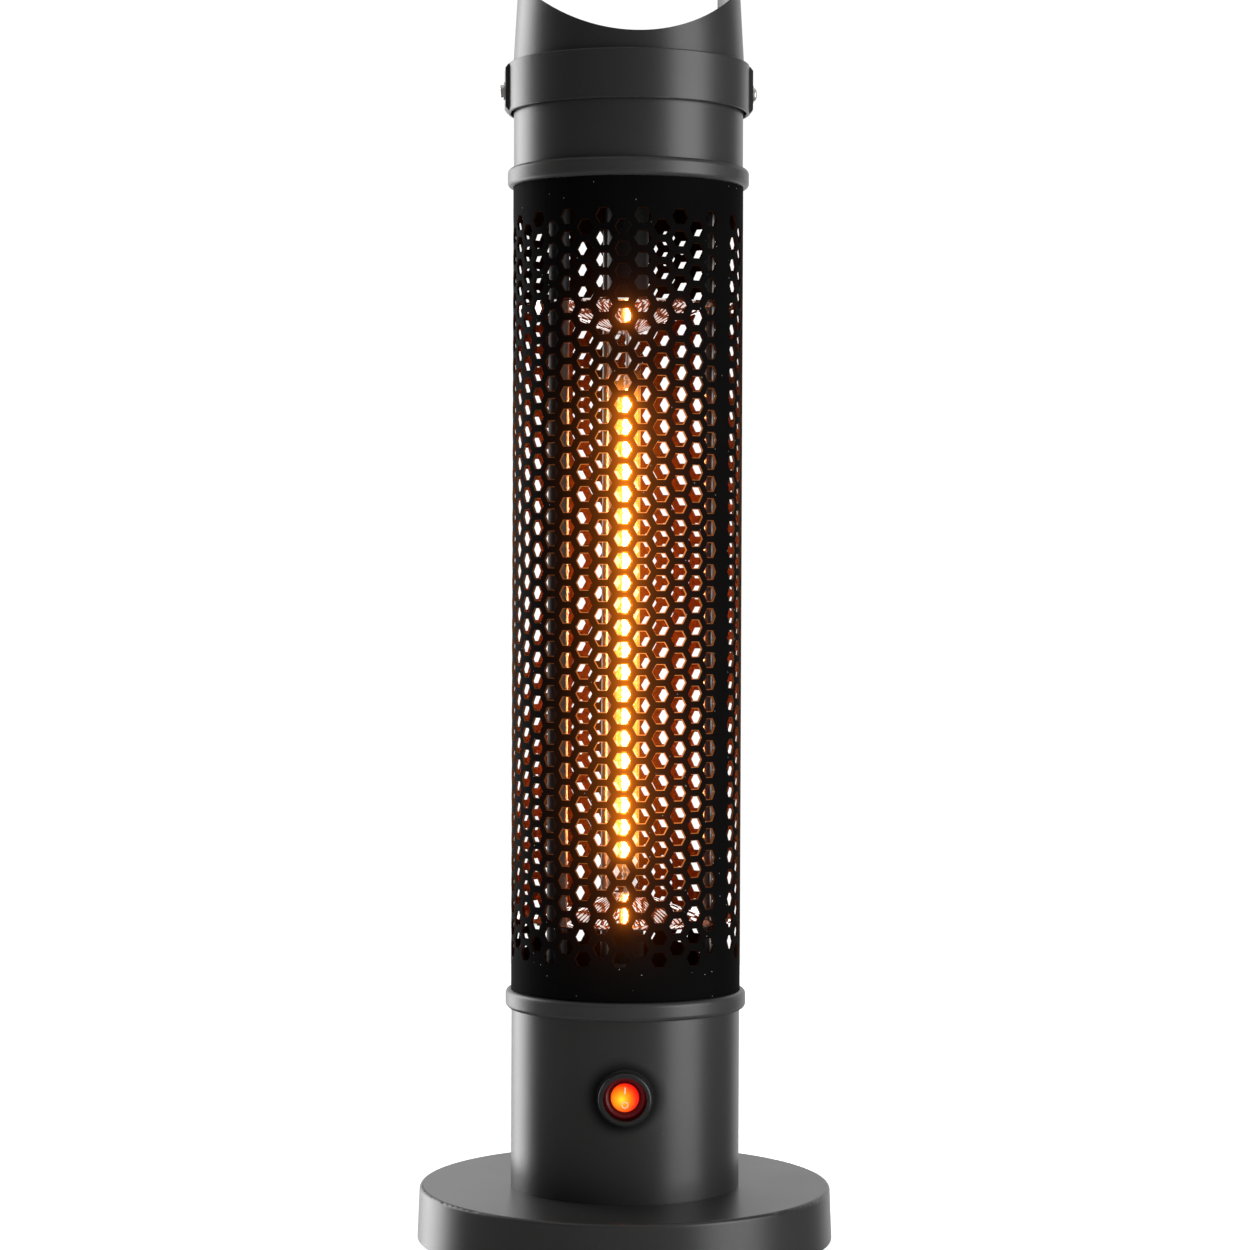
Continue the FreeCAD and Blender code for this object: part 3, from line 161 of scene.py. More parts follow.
deselect()
bpy.ops.mesh.primitive_circle_add(vertices=128, radius=FLOOR_RADIUS, fill_type="NGON",
                                  location=(0, 0, -FLOOR_SINK))
floor = bpy.context.object
floor.name = "floor"
floor.visible_glossy = False
print("studio with", len(bpy.data.lights), "lights")

# %% [markdown]
# ## The bloom of the lens
# The element is so bright that its light spills over in the lens and tints the metal beside it. A glare
# node on the finished picture does the same. Its threshold is far above the white of the studio, so
# only the element blooms.

# %% Let the element bloom
BLOOM_THRESHOLD = 4.0
BLOOM_MOST = 36.0
BLOOM_STRENGTH = 0.52
BLOOM_SIZE = 0.06
BLOOM_TINT = (1.0, 0.72, 0.09, 1)

bpy.context.scene.use_nodes = True
picture = bpy.context.scene.node_tree
bloom = picture.nodes.new("CompositorNodeGlare")
bloom.glare_type = "BLOOM"
for socket, value in (("Threshold", BLOOM_THRESHOLD), ("Clamp", True), ("Maximum", BLOOM_MOST),
                      ("Strength", BLOOM_STRENGTH), ("Size", BLOOM_SIZE), ("Tint", BLOOM_TINT)):
    bloom.inputs[socket].default_value = value
picture.links.new(picture.nodes["Render Layers"].outputs["Image"], bloom.inputs["Image"])
picture.links.new(bloom.outputs["Image"], picture.nodes["Composite"].inputs["Image"])
print("bloom above", BLOOM_THRESHOLD)

# %% [markdown]
# ## Writing finishes as sums
# A finish is a small net of nodes. Wrapping a socket in a class with its own + and * lets the net be
# written as plain sums, which are easier to read than rows of links.

# %% A socket that can be added and multiplied


class Wire:
    """One output socket of a finish. Sums and products of it add Math nodes."""

    def __init__(self, finish, socket):
        self.finish = finish
        self.socket = socket

    def math(self, operation, *values):
        return self.finish.node("ShaderNodeMath", dict(enumerate(values)), operation=operation)

    def __add__(self, other):
        return self.math("ADD", self, other)

    def __radd__(self, other):
        return self.math("ADD", other, self)

    def __sub__(self, other):
        return self.math("SUBTRACT", self, other)

    def __rsub__(self, other):
        return self.math("SUBTRACT", other, self)

    def __mul__(self, other):
        return self.math("MULTIPLY", self, other)

    def __rmul__(self, other):
        return self.math("MULTIPLY", other, self)

    def __lt__(self, other):
        return self.math("LESS_THAN", self, other)

    def __gt__(self, other):
        return self.math("GREATER_THAN", self, other)


class Finish:
    """One material in the making, on the piece's own object coordinates."""

    def __init__(self, name, constants=None):
        self.material = bpy.data.materials.new(name)
        self.material.use_nodes = True
        self.tree = self.material.node_tree
        self.shader = self.tree.nodes["Principled BSDF"]
        self.place = self.node("ShaderNodeTexCoord", output="Object")
        for socket, value in (constants or {}).items():
            self.shader.inputs[socket].default_value = value

    def node(self, kind, inputs=None, output=0, stops=None, **settings):
        made = self.tree.nodes.new(kind)
        for key, value in settings.items():
            setattr(made, key, value)
        if stops:
            ramp = made.color_ramp.elements
            while len(ramp) < len(stops):
                ramp.new(1.0)
            for element, (position, color) in zip(ramp, stops):
                element.position = position
                element.color = color
        for key, value in (inputs or {}).items():
            if isinstance(value, Wire):
                self.tree.links.new(value.socket, made.inputs[key])
            else:
                made.inputs[key].default_value = value
        return Wire(self, made.outputs[output])

    def noise(self, size, detail):
        """Cloudy grain whose blotches are about size metres across."""
        return self.node("ShaderNodeTexNoise", {"Vector": self.place, "Scale": 1 / size, "Detail": detail})

    def specks(self, spacing, radius, share):
        """Sparse round dots: a mask that is 1 on a share of the points of a loose grid."""
        inputs = {"Vector": self.place, "Scale": 1 / spacing}
        near = self.node("ShaderNodeTexVoronoi", inputs) < radius / spacing
        shade = self.node("ShaderNodeTexVoronoi", inputs, output="Color")
        pick = self.node("ShaderNodeSeparateColor", {0: shade}) < share
        return near * pick

    def ramp(self, value, low, high):
        """A smooth rise from 0 to 1 between two values."""
        return self.node("ShaderNodeMapRange", {0: value, 1: low, 2: high}, interpolation_type="SMOOTHSTEP")

    def beside_element(self, ease):
        """1 beside the glowing part of the element, and 0 above and below it."""
        height = self.node("ShaderNodeSeparateXYZ", {0: self.place}, output="Z")
        rise = self.ramp(height, FILAMENT_LOW.z - ease, FILAMENT_LOW.z + ease)
        fall = self.ramp(height, FILAMENT_HIGH.z - ease, FILAMENT_HIGH.z + ease)
        return rise * (1 - fall)

    def away_from(self, middle, keep):
        """Distance from a point, measured only along the directions that keep marks with a 1."""
        shift = [-part * use for part, use in zip(middle, keep)]
        moved = self.node("ShaderNodeMapping", {"Vector": self.place, "Location": shift, "Scale": keep})
        return self.node("ShaderNodeVectorMath", {0: moved}, output="Value", operation="LENGTH")

    def mix(self, factor, first, second):
        return self.node("ShaderNodeMix", {0: factor, 6: first, 7: second}, output=2, data_type="RGBA")

    def feed(self, socket, value):
        self.tree.links.new(value.socket, self.shader.inputs[socket])

    def bump(self, height, depth):
        """Relief in the gloss: the height's unit stands depth metres proud."""
        self.feed("Normal", self.node(
            "ShaderNodeBump", {"Height": height, "Distance": depth, "Strength": 1.0}))


FILAMENT_LOW, FILAMENT_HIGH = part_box("carbon_filament")


def grey(value, warm=0.0):
    return (value + warm, value, value - warm, 1)


print("finish tools ready")

# %% [markdown]
# ## The powder coat
# The tubes, the base and the handle have a satin charcoal powder coat. It has a fine orange-peel
# surface, which spreads the lights into soft bands, and a very slight unevenness in its gloss. Round the
# switch a painted shadow makes it darker and duller. The grille's paint is a dead black. The walls of its
# holes catch the element's light, most of all beside the element, so they are given a painted glow that
# fades to both sides, and the grille's inside is painted red-brown, the colour of that light.

# %% Charcoal coat, grille paint and floor
GRILLE_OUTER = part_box("grille")[1].x - 0.05 * MM
GRILLE_INNER = GRILLE_OUTER - 0.9 * MM
SWITCH_MIDDLE = sum(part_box("switch_housing"), Vector()) / 2
# Inner and outer radius of the painted shadow round the switch.
SWITCH_SHADOW_FROM, SWITCH_SHADOW_TO = 0.0140, 0.0215
# Strength, middle, reach and fade of the painted glow on the cut edges of the grille.
PAINTED_EDGE_GLOW = 1.2
EDGE_MIDDLE = (0.006, 0, 0)
EDGE_REACH = 0.045
EDGE_FADE = 0.93


def charcoal_coat():
    finish = Finish("charcoal_coat")
    clouds = finish.noise(0.05, 3)
    grain = finish.noise(0.0007, 2)
    peel = finish.noise(0.0022, 2)
    dust = finish.specks(0.006, 0.00018, 0.25)
    depth = finish.node("ShaderNodeSeparateXYZ", {0: finish.place}, output="Y")
    away = finish.away_from(SWITCH_MIDDLE, (1, 0, 1))
    # Painted shadow: a darker, duller ring of the coat round the switch collar.
    switch_shadow = (1 - finish.ramp(away, SWITCH_SHADOW_FROM, SWITCH_SHADOW_TO)) * (depth < 0)
    coat = finish.mix(clouds, grey(0.019), grey(0.024))
    finish.feed("Base Color", finish.mix(switch_shadow, finish.mix(dust, coat, grey(0.12)), grey(0.001)))
    finish.feed("Roughness", 0.31 + 0.06 * clouds + 0.05 * grain + 0.58 * switch_shadow)
    finish.bump(0.6 * peel + 0.4 * grain, 0.00004)
    return finish.material


def grille_paint():
    """Dead black outside. The cut edges of the holes get a painted glow where they catch the element's
    light, and the inside is painted red-brown, the colour of that light.
    """
    finish = Finish("grille_paint", {"Specular IOR Level": 0.01, "Emission Strength": PAINTED_EDGE_GLOW})
    clouds = finish.noise(0.02, 3)
    grain = finish.noise(0.0006, 2)
    dust = finish.specks(0.0035, 0.00025, 0.3)
    paint = finish.mix(clouds, grey(0.0025), grey(0.004))
    outside = finish.mix(dust, paint, grey(0.3))
    radius = finish.away_from((0, 0, 0), (1, 1, 0))
    cut_edge = (radius < GRILLE_OUTER) * (radius > GRILLE_INNER)
    # Painted light: the inside and the cut edges are red-brown, the colour of the element's light on them.
    finish.feed("Base Color", finish.mix(radius < GRILLE_OUTER, outside, (0.020, 0.0055, 0.0018, 1)))
    across = finish.away_from(EDGE_MIDDLE, (1, 0, 0))
    # Painted glow on the cut edges, brightest beside the element and fading to both sides.
    glow = cut_edge * finish.beside_element(0.03) * (1 - finish.ramp(across, 0, EDGE_REACH) * EDGE_FADE)
    finish.feed("Emission Color", finish.mix(glow, (0, 0, 0, 1), (1.0, 0.31, 0.07, 1)))
    finish.feed("Roughness", 0.62 + 0.1 * grain)
    finish.bump(grain, 0.00003)
    return finish.material


def studio_floor():
    finish = Finish("studio_floor", {"Roughness": 0.8, "Emission Strength": 0.85})
    clouds = finish.noise(0.6, 2)
    finish.feed("Base Color", finish.mix(clouds, grey(0.86), grey(0.9)))
    finish.shader.inputs["Emission Color"].default_value = grey(1.0)
    return finish.material


floor.data.materials.append(studio_floor())
print("coat and paint made")

# %% [markdown]
# ## Plastics and rubber
# The trim rings are a lighter moulded plastic, the grip, the switch collar and the cord gland are black
# ones. Moulded plastic has a faint spark-eroded grain, and rubber is duller.

# %% Moulded plastics and rubber


def moulded(name, dark, light, gloss, grain_size=0.0005, depth=0.00003):
    finish = Finish(name)
    clouds = finish.noise(0.015, 3)
    grain = finish.noise(grain_size, 2)
    finish.feed("Base Color", finish.mix(clouds, grey(dark), grey(light)))
    finish.feed("Roughness", gloss + 0.08 * grain)
    finish.bump(grain, depth)
    return finish.material


def tinted_rocker():
    finish = Finish("tinted_rocker", {"Roughness": 0.3, "Coat Weight": 0.1, "Emission Strength": 0.35})
    clouds = finish.noise(0.004, 2)
    finish.feed("Base Color", finish.mix(clouds, (0.05, 0.003, 0.004, 1), (0.08, 0.005, 0.006, 1)))
    finish.feed("Emission Color", finish.mix(clouds, (0.09, 0.001, 0.003, 1), (0.13, 0.002, 0.004, 1)))
    return finish.material


LAMP_MIDDLE = sum(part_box("rocker_lens"), Vector()) / 2 + Vector((-0.0016, 0, -0.0008))
LENS_REACH = 0.0085


def lit_lens():
    """Red lens lit from behind: yellow over the lamp, then orange, and red at the rim."""
    finish = Finish("lit_lens", {"Roughness": 0.3, "Specular IOR Level": 0.2, "Emission Strength": 1.1})
    far = finish.away_from(LAMP_MIDDLE, (1, 0, 1)) * (1 / LENS_REACH) + 0.12 * finish.noise(0.0018, 2)
    glow = finish.node("ShaderNodeValToRGB", {"Fac": far}, stops=[
        (0.12, (1.0, 0.72, 0.03, 1)),
        (0.34, (1.0, 0.42, 0.006, 1)),
        (0.60, (1.0, 0.18, 0.002, 1)),
        (0.86, (1.0, 0.03, 0.002, 1)),
        (1.0, (0.80, 0.006, 0.006, 1)),
    ])
    finish.feed("Emission Color", glow)
    finish.shader.inputs["Base Color"].default_value = (0.2, 0.01, 0.005, 1)
    return finish.material


def printed_mark():
    finish = Finish("printed_mark", {"Roughness": 0.5, "Emission Strength": 0.22})
    clouds = finish.noise(0.001, 2)
    finish.feed("Base Color", finish.mix(clouds, (0.85, 0.6, 0.45, 1), (0.9, 0.68, 0.52, 1)))
    finish.feed("Emission Color", finish.mix(clouds, (1.0, 0.66, 0.5, 1), (1.0, 0.76, 0.62, 1)))
    return finish.material


print("plastics made")

# %% [markdown]
# ## Metals inside and out
# The plated sheet parts are dull and slightly blotched, the rods and screws are polished, and the two
# reflectors are bright spun aluminium whose faint waves break up what they mirror. The rods share a
# slot with the dark conduit, so their finish tells them apart by place.

# %% Metals
ROD_REACH = 3.4 * MM
CONE_SWELL = 0.34
WAVE_HEIGHT = 0.00004


def metal(name, color, gloss, depth=0.00001):
    """Bare metal, slightly blotched, with a fine grain in its gloss."""
    finish = Finish(name, {"Metallic": 1.0})
    clouds = finish.noise(0.012, 3)
    grain = finish.noise(0.0008, 3)
    dull = tuple(0.82 * part for part in color) + (1,)
    finish.feed("Base Color", finish.mix(clouds, dull, color + (1,)))
    finish.feed("Roughness", gloss + 0.12 * grain)
    finish.bump(grain, depth)
    return finish.material


def mirror_sheet():
    """Bright spun sheet. It mirrors sharply, with faint waves and a slight swell of its cone."""
    finish = Finish("mirror_sheet", {"Metallic": 0.94, "Roughness": 0.0})
    clouds = finish.noise(0.012, 3)
    waves = finish.noise(0.004, 1)
    finish.feed("Base Color", finish.mix(clouds, (0.80, 0.73, 0.70, 1), (0.88, 0.82, 0.79, 1)))
    away = finish.away_from((FILAMENT_LOW + FILAMENT_HIGH) / 2, (0, 0, 1))
    finish.bump(WAVE_HEIGHT * waves - away, CONE_SWELL)
    return finish.material


def rod_places():
    """The middles of the two tie rods, seen from above."""
    points = [point.co for point in frame["nodes"]["tie_rods"].data.vertices]
    for side in (-1, 1):
        group = [point for point in points if point.x * side > 0]
        yield [(min(point[i] for point in group) + max(point[i] for point in group)) / 2 for i in range(3)]


def conduit_steel():
    """Polished steel on the two tie rods, dark satin paint on the wire conduit and the sleeve."""
    finish = Finish("conduit_steel")
    clouds = finish.noise(0.015, 3)
    grain = finish.noise(0.0005, 2)
    left, right = (finish.away_from(place, (1, 1, 0)) < ROD_REACH for place in rod_places())
    rod = left + right
    paint = finish.mix(clouds, grey(0.008), grey(0.012))
    finish.feed("Base Color", finish.mix(rod, paint, grey(0.17, 0.01)))
    finish.feed("Metallic", rod)
    finish.feed("Roughness", 0.48 + 0.06 * grain - 0.14 * rod)
    finish.bump(grain, 0.000004)
    return finish.material


def cast_iron():
    finish = Finish("cast_iron", {"Metallic": 0.7})
    clouds = finish.noise(0.01, 4)
    pits = finish.noise(0.0012, 3)
    finish.feed("Base Color", finish.mix(clouds, grey(0.05), grey(0.11, 0.01)))
    finish.feed("Roughness", 0.6 + 0.25 * pits)
    finish.bump(pits, 0.0003)
    return finish.material


print("metals made")

# %% [markdown]
# ## The hot element
# A carbon rope glows inside a clear quartz tube. The rope is far brighter than anything else in the
# picture, so it turns white and throws orange light on the inside of the grille. The quartz is nearly
# clear, with a painted warm glow beside the rope, standing for the rope's light in it.

# %% Glowing rope, quartz and ceramic


def hot_carbon():
    finish = Finish("hot_carbon", {"Roughness": 0.7, "Emission Strength": 420.0})
    weave = finish.noise(0.002, 2)
    finish.feed("Emission Color", finish.mix(weave, (1.0, 0.27, 0.08, 1), (1.0, 0.33, 0.10, 1)))
    finish.shader.inputs["Base Color"].default_value = grey(0.05)
    return finish.material


def clear_quartz():
    finish = Finish("clear_quartz", {
        "Roughness": 0.06, "Specular IOR Level": 0.04, "Emission Strength": 2.6})
    beside_element = finish.beside_element(0.012)
    edge = finish.node("ShaderNodeLayerWeight", {"Blend": 0.35}, output="Facing")
    # Painted glow: the quartz emits orange beside the rope, in place of the rope's light seen in it.
    finish.feed("Emission Color", finish.mix(beside_element, (0, 0, 0, 1), (1.0, 0.34, 0.03, 1)))
    finish.feed("Alpha", 0.08 + 0.14 * edge * edge + 0.10 * beside_element)
    finish.shader.inputs["Base Color"].default_value = grey(0.03)
    return finish.material


def dull_ceramic(name, dark, light):
    finish = Finish(name)
    clouds = finish.noise(0.008, 3)
    grain = finish.noise(0.0006, 2)
    finish.feed("Base Color", finish.mix(clouds, grey(dark, 0.01), grey(light, 0.012)))
    finish.feed("Roughness", 0.7 + 0.15 * grain)
    finish.bump(grain, 0.00004)
    return finish.material


print("element finishes made")

# %% [markdown]
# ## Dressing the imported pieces
# Each finish belongs to a slot of the record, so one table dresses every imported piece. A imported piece
# keeps its shape, and only its finish is changed.

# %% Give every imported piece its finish
FINISHES = {
    "charcoal_coat": charcoal_coat(),
    "grille_black": grille_paint(),
    "trim_plastic": moulded("trim_plastic", 0.026, 0.034, 0.36),
    "grip_plastic": moulded("grip_plastic", 0.014, 0.02, 0.5, 0.0007, 0.00006),
    "black_plastic": moulded("black_plastic", 0.012, 0.018, 0.34),
    "black_rubber": moulded("black_rubber", 0.005, 0.009, 0.72, 0.0008, 0.00006),
    "weight_iron": cast_iron(),
    "plated_steel": metal("plated_steel", (0.58, 0.57, 0.54), 0.3),
    "stainless": metal("stainless", (0.80, 0.78, 0.75), 0.34, depth=0.000002),
    "conduit_steel": conduit_steel(),
    "mirror_sheet": mirror_sheet(),
    "quartz": clear_quartz(),
    "hot_carbon": hot_carbon(),
    "cap_ceramic": dull_ceramic("cap_ceramic", 0.022, 0.034),
    "terminal_brass": metal("terminal_brass", (0.72, 0.52, 0.22), 0.25),
    "rocker_red": tinted_rocker(),
    "lens_lit": lit_lens(),
    "mark_white": printed_mark(),
    "wire_sleeve": dull_ceramic("wire_sleeve", 0.42, 0.55),
}
for part in frame["record"]["subparts"]:
    node = frame["nodes"][part["node"]]
    node.data.materials.clear()
    node.data.materials.append(FINISHES[part["material_slot"]])
print(len(FINISHES), "finishes on", len(frame["nodes"]), "pieces")

# %% [markdown]
# ## Turning pieces on a lathe
# Screws, feet, the grip and the gland are round, so most of them start as an outline of a few corners
# that is spun about an axis. The outline is traced by moving one point and extruding it from corner to
# corner, then spun, and the seam and the pole are merged.

# %% The lathe and its helpers


def new_point(name):
    """A mesh of one loose point at the origin, in edit mode."""
    deselect()
    bpy.ops.mesh.primitive_plane_add(size=MM)
    piece = bpy.context.object
    piece.name = piece.data.name = name
    bpy.ops.object.mode_set(mode="EDIT")
    bpy.ops.mesh.select_mode(type="VERT")
    bpy.ops.mesh.select_all(action="SELECT")
    bpy.ops.mesh.merge(type="CENTER")
    return piece


def clean_up():
    """Merge doubled points, turn the faces outwards and leave edit mode."""
    bpy.ops.mesh.select_all(action="SELECT")
    bpy.ops.mesh.remove_doubles(threshold=1e-6)
    bpy.ops.mesh.normals_make_consistent(inside=False)
    bpy.ops.object.mode_set(mode="OBJECT")


def smooth(piece, angle=32):
    deselect()
    piece.select_set(True)
    bpy.context.view_layer.objects.active = piece
    bpy.ops.object.shade_smooth_by_angle(angle=math.radians(angle))


def lathe(name, outline, steps=48):
    """Spin an outline of (radius, height) corners, in millimetres, about the upright axis."""
    piece = new_point(name)
    here = Vector()
    for number, (radius, height) in enumerate(outline):
        there = Vector((radius, 0, height)) * MM
        if number == 0:
            bpy.ops.transform.translate(value=there)
        else:
            bpy.ops.mesh.extrude_region_move(TRANSFORM_OT_translate={"value": there - here})
        here = there
    bpy.ops.mesh.select_all(action="SELECT")
    bpy.ops.mesh.spin(steps=steps, angle=2 * math.pi, center=(0, 0, 0), axis=(0, 0, 1))
    clean_up()
    return piece


def arc(middle, radius, first, last, steps):
    """Corners of a round stretch of an outline, from one angle to another."""
    return [(middle[0] + radius * math.cos(math.radians(first + (last - first) * i / steps)),
             middle[1] + radius * math.sin(math.radians(first + (last - first) * i / steps)))
            for i in range(steps + 1)]


def pick_faces(piece, test):
    """Select the faces whose middle and normal pass a test."""
    mesh = bmesh.from_edit_mesh(piece.data)
    for face in mesh.faces:
        face.select_set(test(face.calc_center_median(), face.normal))
    bmesh.update_edit_mesh(piece.data)


def settle(piece, matrix):
    """Put a finished piece in its place, in its mesh, with its object at the origin."""
    piece.matrix_world = matrix
    deselect()
    piece.select_set(True)
    bpy.context.view_layer.objects.active = piece
    bpy.ops.object.transform_apply(location=True, rotation=True, scale=True)
    return piece


def copy_of(piece, name):
    deselect()
    piece.select_set(True)
    bpy.context.view_layer.objects.active = piece
    bpy.ops.object.duplicate()
    made = bpy.context.object
    made.name = made.data.name = name
    return made


def carve(piece, cutter, operation="DIFFERENCE"):
    """Apply a boolean with another mesh, which is then removed."""
    deselect()
    bpy.context.view_layer.objects.active = piece
    tool = piece.modifiers.new("carve", "BOOLEAN")
    tool.object = cutter
    tool.operation = operation
    tool.solver = "EXACT"
    bpy.ops.object.modifier_apply(modifier=tool.name)
    bpy.data.objects.remove(cutter)
    return piece


def joined(name, pieces):
    """Several meshes as one piece."""
    deselect()
    for piece in pieces:
        piece.select_set(True)
    bpy.context.view_layer.objects.active = pieces[0]
    bpy.ops.object.join()
    whole = bpy.context.object
    whole.name = whole.data.name = name
    return whole


def stand_in(piece, body, slot, *nodes):
    """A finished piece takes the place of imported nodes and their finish."""
    piece.data.materials.clear()
    piece.data.materials.append(FINISHES[slot])
    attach(piece, body)
    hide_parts(*nodes)
    print(piece.name, len(piece.data.polygons), "faces")


print("lathe ready")

# %% [markdown]
# ## The carbon rope
# The glowing element is a rope of twisted carbon strands. One strand starts as a small ring beside the
# axis, and a Screw modifier carries it up in a helix. Three strands, each turned by a third, make the
# rope.

# %% Twist the carbon rope
STRANDS = 3
STRAND_RADIUS = 1.12 * MM
ROPE_TURNS = 22


def helix(name, outside, wire, length, turns, steps):
    """A wire wound about the upright axis, from height 0, with closed ends."""
    deselect()
    bpy.ops.mesh.primitive_circle_add(vertices=10, radius=wire, rotation=(math.pi / 2, 0, 0),
                                      location=(outside - wire, 0, wire))
    strand = bpy.context.object
    strand.name = strand.data.name = name
    bpy.ops.object.transform_apply(location=True, rotation=True)
    winding = strand.modifiers.new("winding", "SCREW")
    winding.angle = 2 * math.pi
    winding.iterations = turns
    winding.screw_offset = (length - 2 * wire) / turns
    winding.steps = winding.render_steps = steps
    bpy.ops.object.modifier_apply(modifier=winding.name)
    bpy.ops.object.mode_set(mode="EDIT")
    bpy.ops.mesh.select_all(action="DESELECT")
    bpy.ops.mesh.select_non_manifold()
    bpy.ops.mesh.edge_face_add()
    clean_up()
    smooth(strand, 60)
    return strand


def carbon_rope():
    low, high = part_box("carbon_filament")
    first = helix("strand", (high.x - low.x) / 2, STRAND_RADIUS, high.z - low.z, ROPE_TURNS, 14)
    strands = [first] + [copy_of(first, f"strand_{number}") for number in range(1, STRANDS)]
    for number, strand in enumerate(strands):
        turn = Matrix.Rotation(2 * math.pi * number / STRANDS, 4, "Z")
        settle(strand, Matrix.Translation((0, 0, low.z)) @ turn)
    return joined("carbon_rope", strands)


stand_in(carbon_rope(), HEATER, "hot_carbon", "carbon_filament")

# %% [markdown]
# ## The spring of the tip-over switch
# Under the base a plunger rests on the floor, and a coil spring pushes it down when the heater is lifted.
# The coil is wound like a strand of the rope.

# %% Wind the spring
SPRING_TURNS = 6
SPRING_WIRE = 1.2 * MM


def tip_coil():
    low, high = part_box("tip_spring")
    middle = (low + high) / 2
    wire = SPRING_WIRE / 2
    coil = helix("tip_coil", (high.x - low.x) / 2, wire, high.z - low.z, SPRING_TURNS, 28)
    settle(coil, Matrix.Translation((middle.x, middle.y, low.z)))
    coil.data.materials.append(FINISHES["plated_steel"])
    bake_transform(coil)
    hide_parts("tip_spring")
    return coil


print(tip_coil().name, "wound")

# %% [markdown]
# ## Clamps on the rope
# At each end the rope is held in a crimped sleeve, with three pressed rings, and the lead goes on from
# there. The sleeve is an outline with dents, turned once and used twice.

# %% Crimp the clamps
CRIMPS = 3
CRIMP_DEPTH = 0.45
CRIMP_WIDE, CRIMP_FLAT = 0.9, 0.4
CLAMP_WALL = 0.95
CLAMP_EDGE = 0.3


def rope_clamps():
    low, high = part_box("filament_clamps")
    radius = (high.x - low.x) / 2 / MM
    length = (FILAMENT_LOW.z - low.z) / MM
    bore = radius - CLAMP_WALL
    outline = [(bore, 0), (radius - CLAMP_EDGE, 0), (radius, CLAMP_EDGE)]
    step = length / CRIMPS
    for number in range(CRIMPS):
        middle = step * (number + 0.5)
        outline += [(radius, middle - CRIMP_WIDE), (radius - CRIMP_DEPTH, middle - CRIMP_FLAT),
                    (radius - CRIMP_DEPTH, middle + CRIMP_FLAT), (radius, middle + CRIMP_WIDE)]
    outline += [(radius, length - CLAMP_EDGE), (radius - CLAMP_EDGE, length), (bore, length), (bore, 0)]
    lower = lathe("rope_clamp", outline, 24)
    upper = copy_of(lower, "rope_clamp_upper")
    settle(lower, Matrix.Translation((0, 0, low.z)))
    settle(upper, Matrix.Translation((0, 0, FILAMENT_HIGH.z)))
    clamps = joined("rope_clamps", [lower, upper])
    smooth(clamps)
    return clamps


stand_in(rope_clamps(), HEATER, "stainless", "filament_clamps")

# %% [markdown]
# ## Screws with a cross recess
# The band and the grip are held by stainless pan-head screws. A head is turned, and a cross is then cut
# into it with a boolean. In the picture the left screw shows a flatter head than the right one.

# %% Turn the screws
RECESS_WIDE = 0.95
RECESS_LONG = 3.6
RECESS_DEEP = 1.1
HEAD_EDGE = 0.28
SHANK = 2.0
HEAD, HEAD_HIGH = 3.2, 1.9


def cross_cutter(top):
    """Two crossed wedges that narrow with depth."""
    blades = []
    for turn in (0, math.pi / 2):
        deselect()
        bpy.ops.mesh.primitive_cube_add(size=1, location=(0, 0, top * MM))
        blade = bpy.context.object
        blade.scale = (RECESS_LONG * MM, RECESS_WIDE * MM, 2 * RECESS_DEEP * MM)
        bpy.ops.object.transform_apply(location=True, scale=True)
        bpy.ops.object.mode_set(mode="EDIT")
        bpy.ops.mesh.select_mode(type="FACE")
        bpy.ops.mesh.select_all(action="DESELECT")
        pick_faces(blade, lambda middle, normal: normal.z < -0.5)
        bpy.ops.transform.resize(value=(0.45, 0.6, 1))
        bpy.ops.object.mode_set(mode="OBJECT")
        blades.append(settle(blade, Matrix.Rotation(turn, 4, "Z")))
    return carve(blades[0], blades[1], "UNION")


def pan_screw(name, head, high, length, dome):
    """A screw that stands on its seat at height 0, with its shank below. Dome 1 is a round head."""
    flat = head * (1 - dome)
    crown = [(head, high * HEAD_EDGE)]
    crown += [(flat + (head - flat) * math.cos(math.radians(a)),
               high * (HEAD_EDGE + (1 - HEAD_EDGE) * math.sin(math.radians(a)))) for a in range(15, 91, 15)]
    outline = [(0, -length), (SHANK * 0.7, -length), (SHANK, -length + SHANK * 0.6), (SHANK, 0), (head, 0)]
    outline += crown
    if flat > 0.01:
        outline.append((0, high))
    screw = lathe(name, outline, 40)
    carve(screw, cross_cutter(high))
    smooth(screw)
    return screw


HANDLE_TURN = math.radians(4)
TO_SIDE = {"right": Matrix.Rotation(math.pi / 2, 4, "Y"), "left": Matrix.Rotation(-math.pi / 2, 4, "Y")}


def side_place(side, distance, height):
    """A place on the handle's cross axis, with the piece's top pointing outwards."""
    return (Matrix.Rotation(HANDLE_TURN, 4, "Z") @ Matrix.Translation((0, 0, height)) @ TO_SIDE[side]
            @ Matrix.Translation((0, 0, distance)))


def reach_of(node):
    """Half the length of a pair along the handle's cross axis, and its height."""
    points = frame["nodes"][node].data.vertices
    across = Vector((math.cos(HANDLE_TURN), math.sin(HANDLE_TURN), 0))
    low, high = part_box(node)
    return max(point.co.dot(across) for point in points), (low.z + high.z) / 2


def screw_pair(name, node, length, domes):
    tip, height = reach_of(node)
    pair = []
    for side, dome in domes.items():
        screw = pan_screw(f"{name}_{side}", HEAD, HEAD_HIGH, length, dome)
        pair.append(settle(screw, side_place(side, tip - HEAD_HIGH * MM, height)))
    return joined(name, pair)


